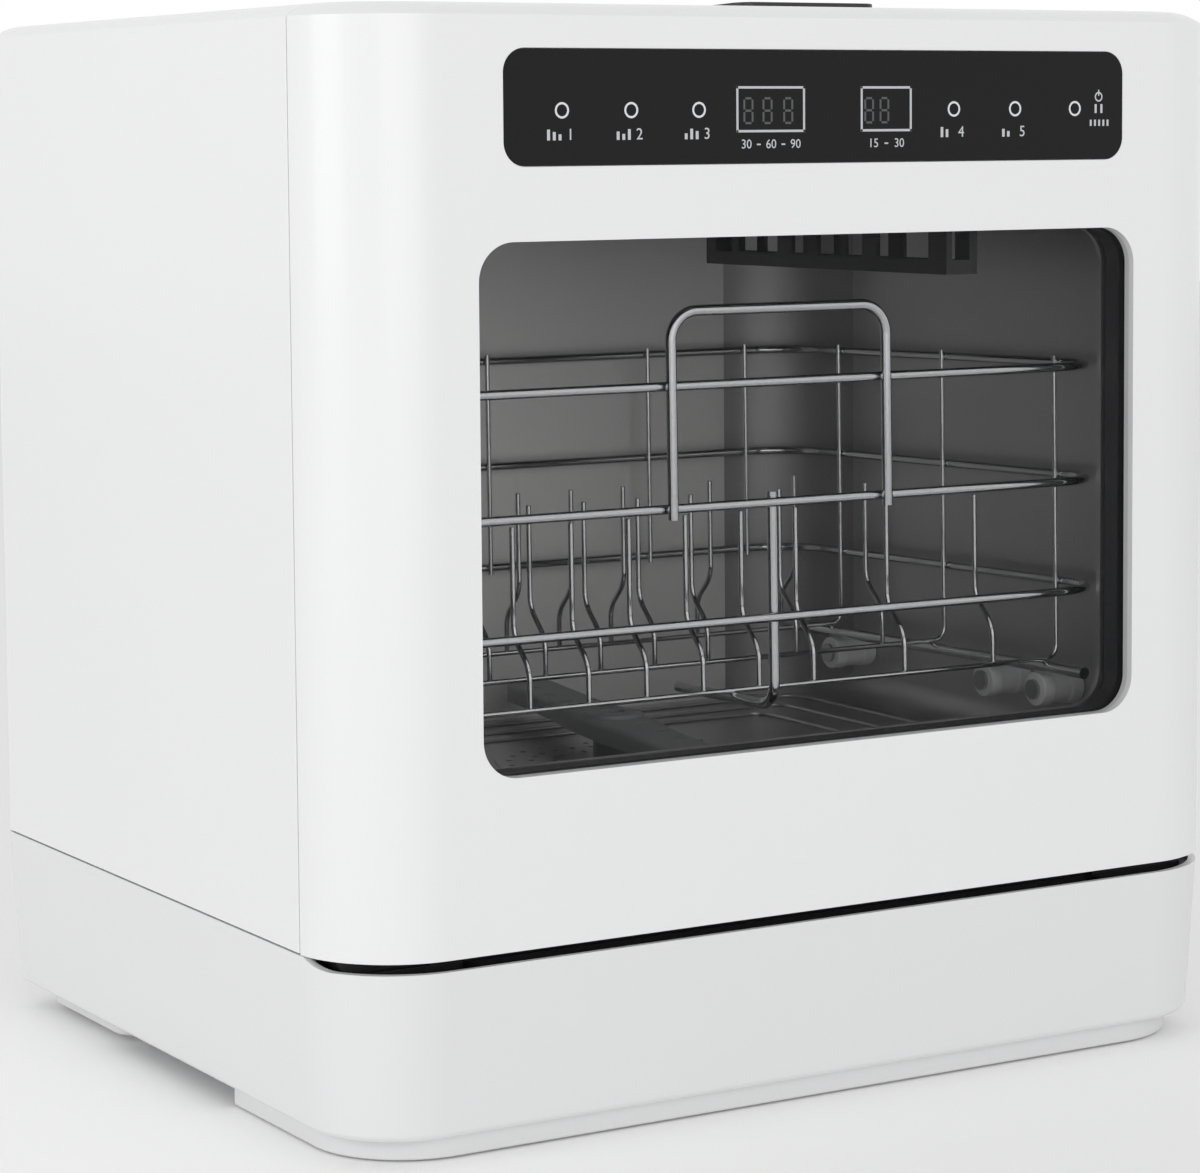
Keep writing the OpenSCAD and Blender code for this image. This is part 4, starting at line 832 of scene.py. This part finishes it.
# %% Model the spray arm
arm_y, arm_low, arm_high = -6, 127.3, 136.3
arm_reach, arm_half, arm_turn = 114.5, 11.5, 80
arm = block("spray_arm_shell", (-arm_reach, -arm_half, arm_low + 0.2), (arm_reach, arm_half, arm_high - 0.4))
pick(arm, "EDGE", lambda c, d: abs(d.x) > 0.9)
bpy.ops.mesh.subdivide(number_cuts=9)
alone(arm)
pick(arm, "VERT", lambda c, n: abs(c.x) < 30)
bpy.ops.transform.resize(value=(1, 1.22, 1), center_override=(0, 0, 0))
alone(arm)
round_edges(arm, 8.5, 5, lambda c, d: abs(c.x) > arm_reach - 0.5 and abs(d.z) > 0.9)
round_edges(arm, 2.2, 3, lambda c, d: abs(d.z) < 0.3 and c.z > arm_high - 1)
hub = spun("arm_hub", [
    (arm_high + 1.6, 5.4), (arm_high + 1.9, 9.5), (arm_high + 1.2, 12.6), (arm_high - 1, 13.6),
    (arm_low + 0.2, 13.9), (arm_low + 0.2, 5.4)], 36)
hub.data.transform(Matrix.Rotation(-math.pi / 2, 4, "Y"))
carve(arm, hub, "UNION")
for k in range(4):
    for side in (-1, 1):
        x, y = side * (24 + 22 * k), side * 5
        jet = rounded("jet", (x - 1.1, y - 3.4, arm_high - 2.6), (x + 1.1, y + 3.4, arm_high + 2), 1, 2, 4)
        carve(arm, jet)
hole = block("shaft_hole", (-5.3, -5.3, 100), (5.3, 5.3, 160))
round_edges(hole, 5.2, 8, lambda c, d: abs(d.z) > 0.9)
carve(arm, hole)
soften(arm, 0.35, 40, 2)
arm.data.transform(Matrix.Translation((0, arm_y * mm, 0)) @ Matrix.Rotation(math.radians(arm_turn), 4, "Z"))
fit(arm, grey_plastic, "spray_arm", "lower_spray_arm", "lower_spray_arm")

# %% [markdown]
# ## Tub floor
# Pressed steel floors carry ribs, which stiffen them and lead water to the sump. The ribs here are shallow
# frames with round corners, one inside the other, and short bars towards the mouth.

# %% Model the ribs on the tub floor
tub_floor = 116


def floor_frame(half_x, half_y, radius, width=5, height=1.6):
    """A low frame with soft edges that lies on the tub's floor."""
    low, high = (-half_x, -half_y, tub_floor - 0.1), (half_x, half_y, tub_floor + height)
    rib = rounded("rib", low, high, radius, 2, 8)
    inner = rounded("inner", (-half_x + width, -half_y + width, 110), (half_x - width, half_y - width, 125),
                    radius - width, 2, 8)
    carve(rib, inner)
    rib.data.transform(Matrix.Translation((0, arm_y * mm, 0)))
    return soften(rib, 0.75, 40, 3)


ribs = [floor_frame(172, 112, 14), floor_frame(150, 92, 12), floor_frame(128, 74, 12)]
for k in range(7):
    x = -150 + 50 * k
    bar = rounded("bar", (x - 2.5, -129, tub_floor - 0.1), (x + 2.5, -121, tub_floor + 1.4), 2.4, 2, 5)
    ribs.append(soften(bar, 0.7, 40, 3))
fit(joined("tub_ribs", ribs), tub_steel, "cabinet", "wash_tub")

# %% [markdown]
# ## Round rear corners of the tub
# A deep-drawn tub has no sharp upright corners at the back: the sheet needs a large radius to flow. Each
# corner is a block whose inner side is hollowed by a tall cylinder, so the back wall runs into the side
# wall in one soft shade.

# %% Model the two corners
cove, coves = 45, []
tub_side, tub_rear, tub_top = 184, 119, 400
for side in (-1, 1):
    near, far = side * (tub_side - cove), side * (tub_side + 0.4)
    corner = block("cove", (min(near, far), tub_rear - cove, tub_floor + 0.2),
                   (max(near, far), tub_rear + 0.4, tub_top - 0.2))
    alone()
    bpy.ops.mesh.primitive_cylinder_add(vertices=128, radius=cove * mm, depth=0.4,
                                        location=(near * mm, (tub_rear - cove) * mm, 0.26))
    bpy.ops.object.transform_apply(location=True, rotation=True, scale=True)
    carve(corner, bpy.context.object)
    coves.append(corner)
coves = joined("tub_corners", coves)
alone(coves)
bpy.ops.object.shade_smooth_by_angle(angle=math.radians(30))
# The rear corners take the darker steel: painted shade.
fit(coves, corner_steel_painted_shade, "cabinet", "wash_tub")

# %% [markdown]
# ## Fill lid and rear panel
# The tank is filled through a black lid on top. From the front it is only a thin dark line. It is a wedge,
# thicker in front where a finger lifts it, with a sunk middle above, a rim below that fits the mouth, and a
# knuckle at its hinge. The rear panel is a sheet with two rows of vents, six screw holes and a raised
# frame.

# %% Model the fill lid
lid_x, lid_y, lid_low, lid_rear, lid_front = 44, -72, 440.15, 442.45, 444.15
lid_half_x, lid_half_y, knuckle_half = 35, 25, 26.5
hinge_y, hinge_z = -45.1, 441.65


def around(name, half_x, half_y, low, high, radius, segments=6):
    """A rounded block about the lid's middle."""
    first, last = (lid_x - half_x, lid_y - half_y, low), (lid_x + half_x, lid_y + half_y, high)
    return rounded(name, first, last, radius, 2, segments)


cap = around("fill_cap", lid_half_x, lid_half_y, lid_low, 446, 8, 10)
slope = Vector((0, lid_front - lid_rear, 2 * lid_half_y))
slice_off(cap, (0, lid_y - lid_half_y, lid_front), slope.normalized(), fill=True)
pick(cap, "FACE", lambda c, n: n.z > 0.9)
bpy.ops.mesh.inset(thickness=5 * mm, depth=0)
bpy.ops.mesh.inset(thickness=0.8 * mm, depth=-0.5 * mm)
alone(cap)
rim = around("rim", 28, 18, 436.2, lid_low + 0.3, 4)
carve(rim, around("rim_hollow", 26, 16, 430, lid_low - 0.5, 3))
carve(cap, rim, "UNION")
left, right = lid_x - knuckle_half, lid_x + knuckle_half
knuckle = spun("knuckle", [(left, 0.9), (left, 1.45), (right, 1.45), (right, 0.9)], 20)
knuckle.data.transform(Matrix.Translation(Vector((0, hinge_y, hinge_z)) * mm))
carve(cap, block("bridge", (left, lid_y + 23.5, lid_low), (right, lid_y + 25.8, lid_low + 1.4)), "UNION")
soften(cap, 0.3, 35, 2)
cap = joined("fill_cap", [cap, knuckle])
fit(cap, black_plastic, "fill_lid", "fill_lid", "fill_lid")

# %% Model the rear panel
back = block("rear_sheet", (-190.9, half_depth - sheet, 80.4), (190.9, half_depth, 434.8))
vent = rounded("vent", (-3, 160, -9), (3, 180, 9), 2.9, 1, 6)
for z in (330, 360):
    for k in range(9):
        twin = copy_of(vent, "vent_copy")
        twin.data.transform(Matrix.Translation(Vector((-60 + 15 * k, 0, z)) * mm))
        carve(back, twin)
bpy.data.objects.remove(vent)
for x in (-186, 186):
    for z in (100.2, 257.6, 416):
        dimple = rounded("dimple", (x - 3.3, 170.5, z - 3.3), (x + 3.3, 175, z + 3.3), 3.2, 1, 8)
        carve(back, dimple)
        hole = rounded("hole", (x - 1.7, 165, z - 1.7), (x + 1.7, 175, z + 1.7), 1.6, 1, 6)
        carve(back, hole)
emboss = rounded("emboss", (-150, 170.4, 110), (150, 172, 300), 12, 1, 8)
inner = rounded("inner", (-144, 160, 116), (144, 180, 294), 9, 1, 8)
carve(emboss, inner)
carve(back, emboss)
soften(back, 0.25, 35, 2)
fit(back, sheet_white, "cabinet", "rear_panel", "rear_panel")

# %% [markdown]
# ## Finishes for the exact solids
# The solids that keep their own shape get their finish here, from one list. The others are hidden behind
# the pieces that stand for them.

# %% Finish the other solids
board_green = moulded("board_green", (0.03, 0.13, 0.06), 0.4, 600, 0.0001)
float_orange = moulded("float_orange", (0.8, 0.3, 0.05), 0.4, 600, 0.0001)
plans = (
    (black_plastic, ("front_frame", "glass_frame", "fill_neck", "air_outlet", "fan_housing", "drip_trough",
                     "door_lock", "power_gland", "wash_impeller", "drain_impeller")),
    (black_rubber, ("tub_seal", "foot_pads", "wash_pipe", "water_hoses")),
    (grey_plastic, ("sump_bowl", "filter_cup", "spray_post", "wash_pump", "drain_pump", "fan_wheel",
                    "drain_spigot", "inlet_valve")),
    (inner_white, ("base_deck", "connection_bay", "door_switch_button")),
    (tank_plastic, ("water_tank",)),
    (tub_steel, ("wash_tub", "door_liner")),
    # The rear wall takes the lighter steel with its brighter bottom: painted light.
    (back_steel_painted_light, ("tub_back_wall",)),
    (pressed_steel, ("hinge_brackets", "hinge_leaves", "door_strike", "roller_pins", "fine_filter", "heater",
                     "rear_panel_screws")),
    (zinc_sheet, ("base_pan",)),
    (chrome, ("rack_hoops", "rack_cross_wires", "rack_runners", "rack_handle")),
    (board_green, ("power_board", "display_modules")),
    (float_orange, ("tank_float",)),
)
for finish, names in plans:
    for name in names:
        finish.on(nodes[name])
print(sum(len(names) for finish, names in plans), "solids finished")

# %% [markdown]
# ## Floor, light and white background
# The machine stands on a plain white floor in a white room. The world is white to the camera and in
# reflections, and weaker as a light, so that white surfaces don't burn out. Two big soft lamps, one high in
# front and one at the left, model the corners.

# %% Stage and lamps
def lamp(name, place, aim, size, power):
    """A square soft lamp, placed and aimed in metres."""
    light = bpy.data.lights.new(name, "AREA")
    light.shape, light.size, light.energy = "SQUARE", size, power
    holder = bpy.data.objects.new(name, light)
    holder.location = place
    holder.rotation_euler = (Vector(aim) - Vector(place)).to_track_quat("-Z", "Y").to_euler()
    bpy.context.scene.collection.objects.link(holder)


alone()
bpy.ops.mesh.primitive_plane_add(size=12, location=(0, 0, 0))
floor = bpy.context.object
floor.name = "floor"
floor_finish = Finish("floor_white", (0.96, 0.96, 0.96), Roughness=0.9, Emission_Strength=0.05,
                      Emission_Color=(1, 1, 1, 1))
floor_finish.on(floor)
world = bpy.data.worlds.new("studio")
bpy.context.scene.world = world
world.use_nodes = True
tree = world.node_tree
light_path = tree.nodes.new("ShaderNodeLightPath")
seen = light_path.outputs["Is Camera Ray"]
for ray in ("Is Glossy Ray", "Is Transmission Ray"):
    either = tree.nodes.new("ShaderNodeMath")
    either.operation = "MAXIMUM"
    tree.links.new(seen, either.inputs[0])
    tree.links.new(light_path.outputs[ray], either.inputs[1])
    seen = either.outputs[0]
strength = tree.nodes.new("ShaderNodeMapRange")
strength.inputs["To Min"].default_value = 0.68
strength.inputs["To Max"].default_value = 1.0
tree.links.new(seen, strength.inputs["Value"])
back = tree.nodes["Background"]
back.inputs["Color"].default_value = (1, 1, 1, 1)
tree.links.new(strength.outputs[0], back.inputs["Strength"])
lamp("key", (-0.7, -2.5, 1.0), (0, 0, 0.25), 1.8, 13)
lamp("side", (-2.4, -0.2, 0.9), (0, 0, 0.2), 1.4, 10)
bpy.context.scene.view_settings.view_transform = "Standard"
print("stage ready")
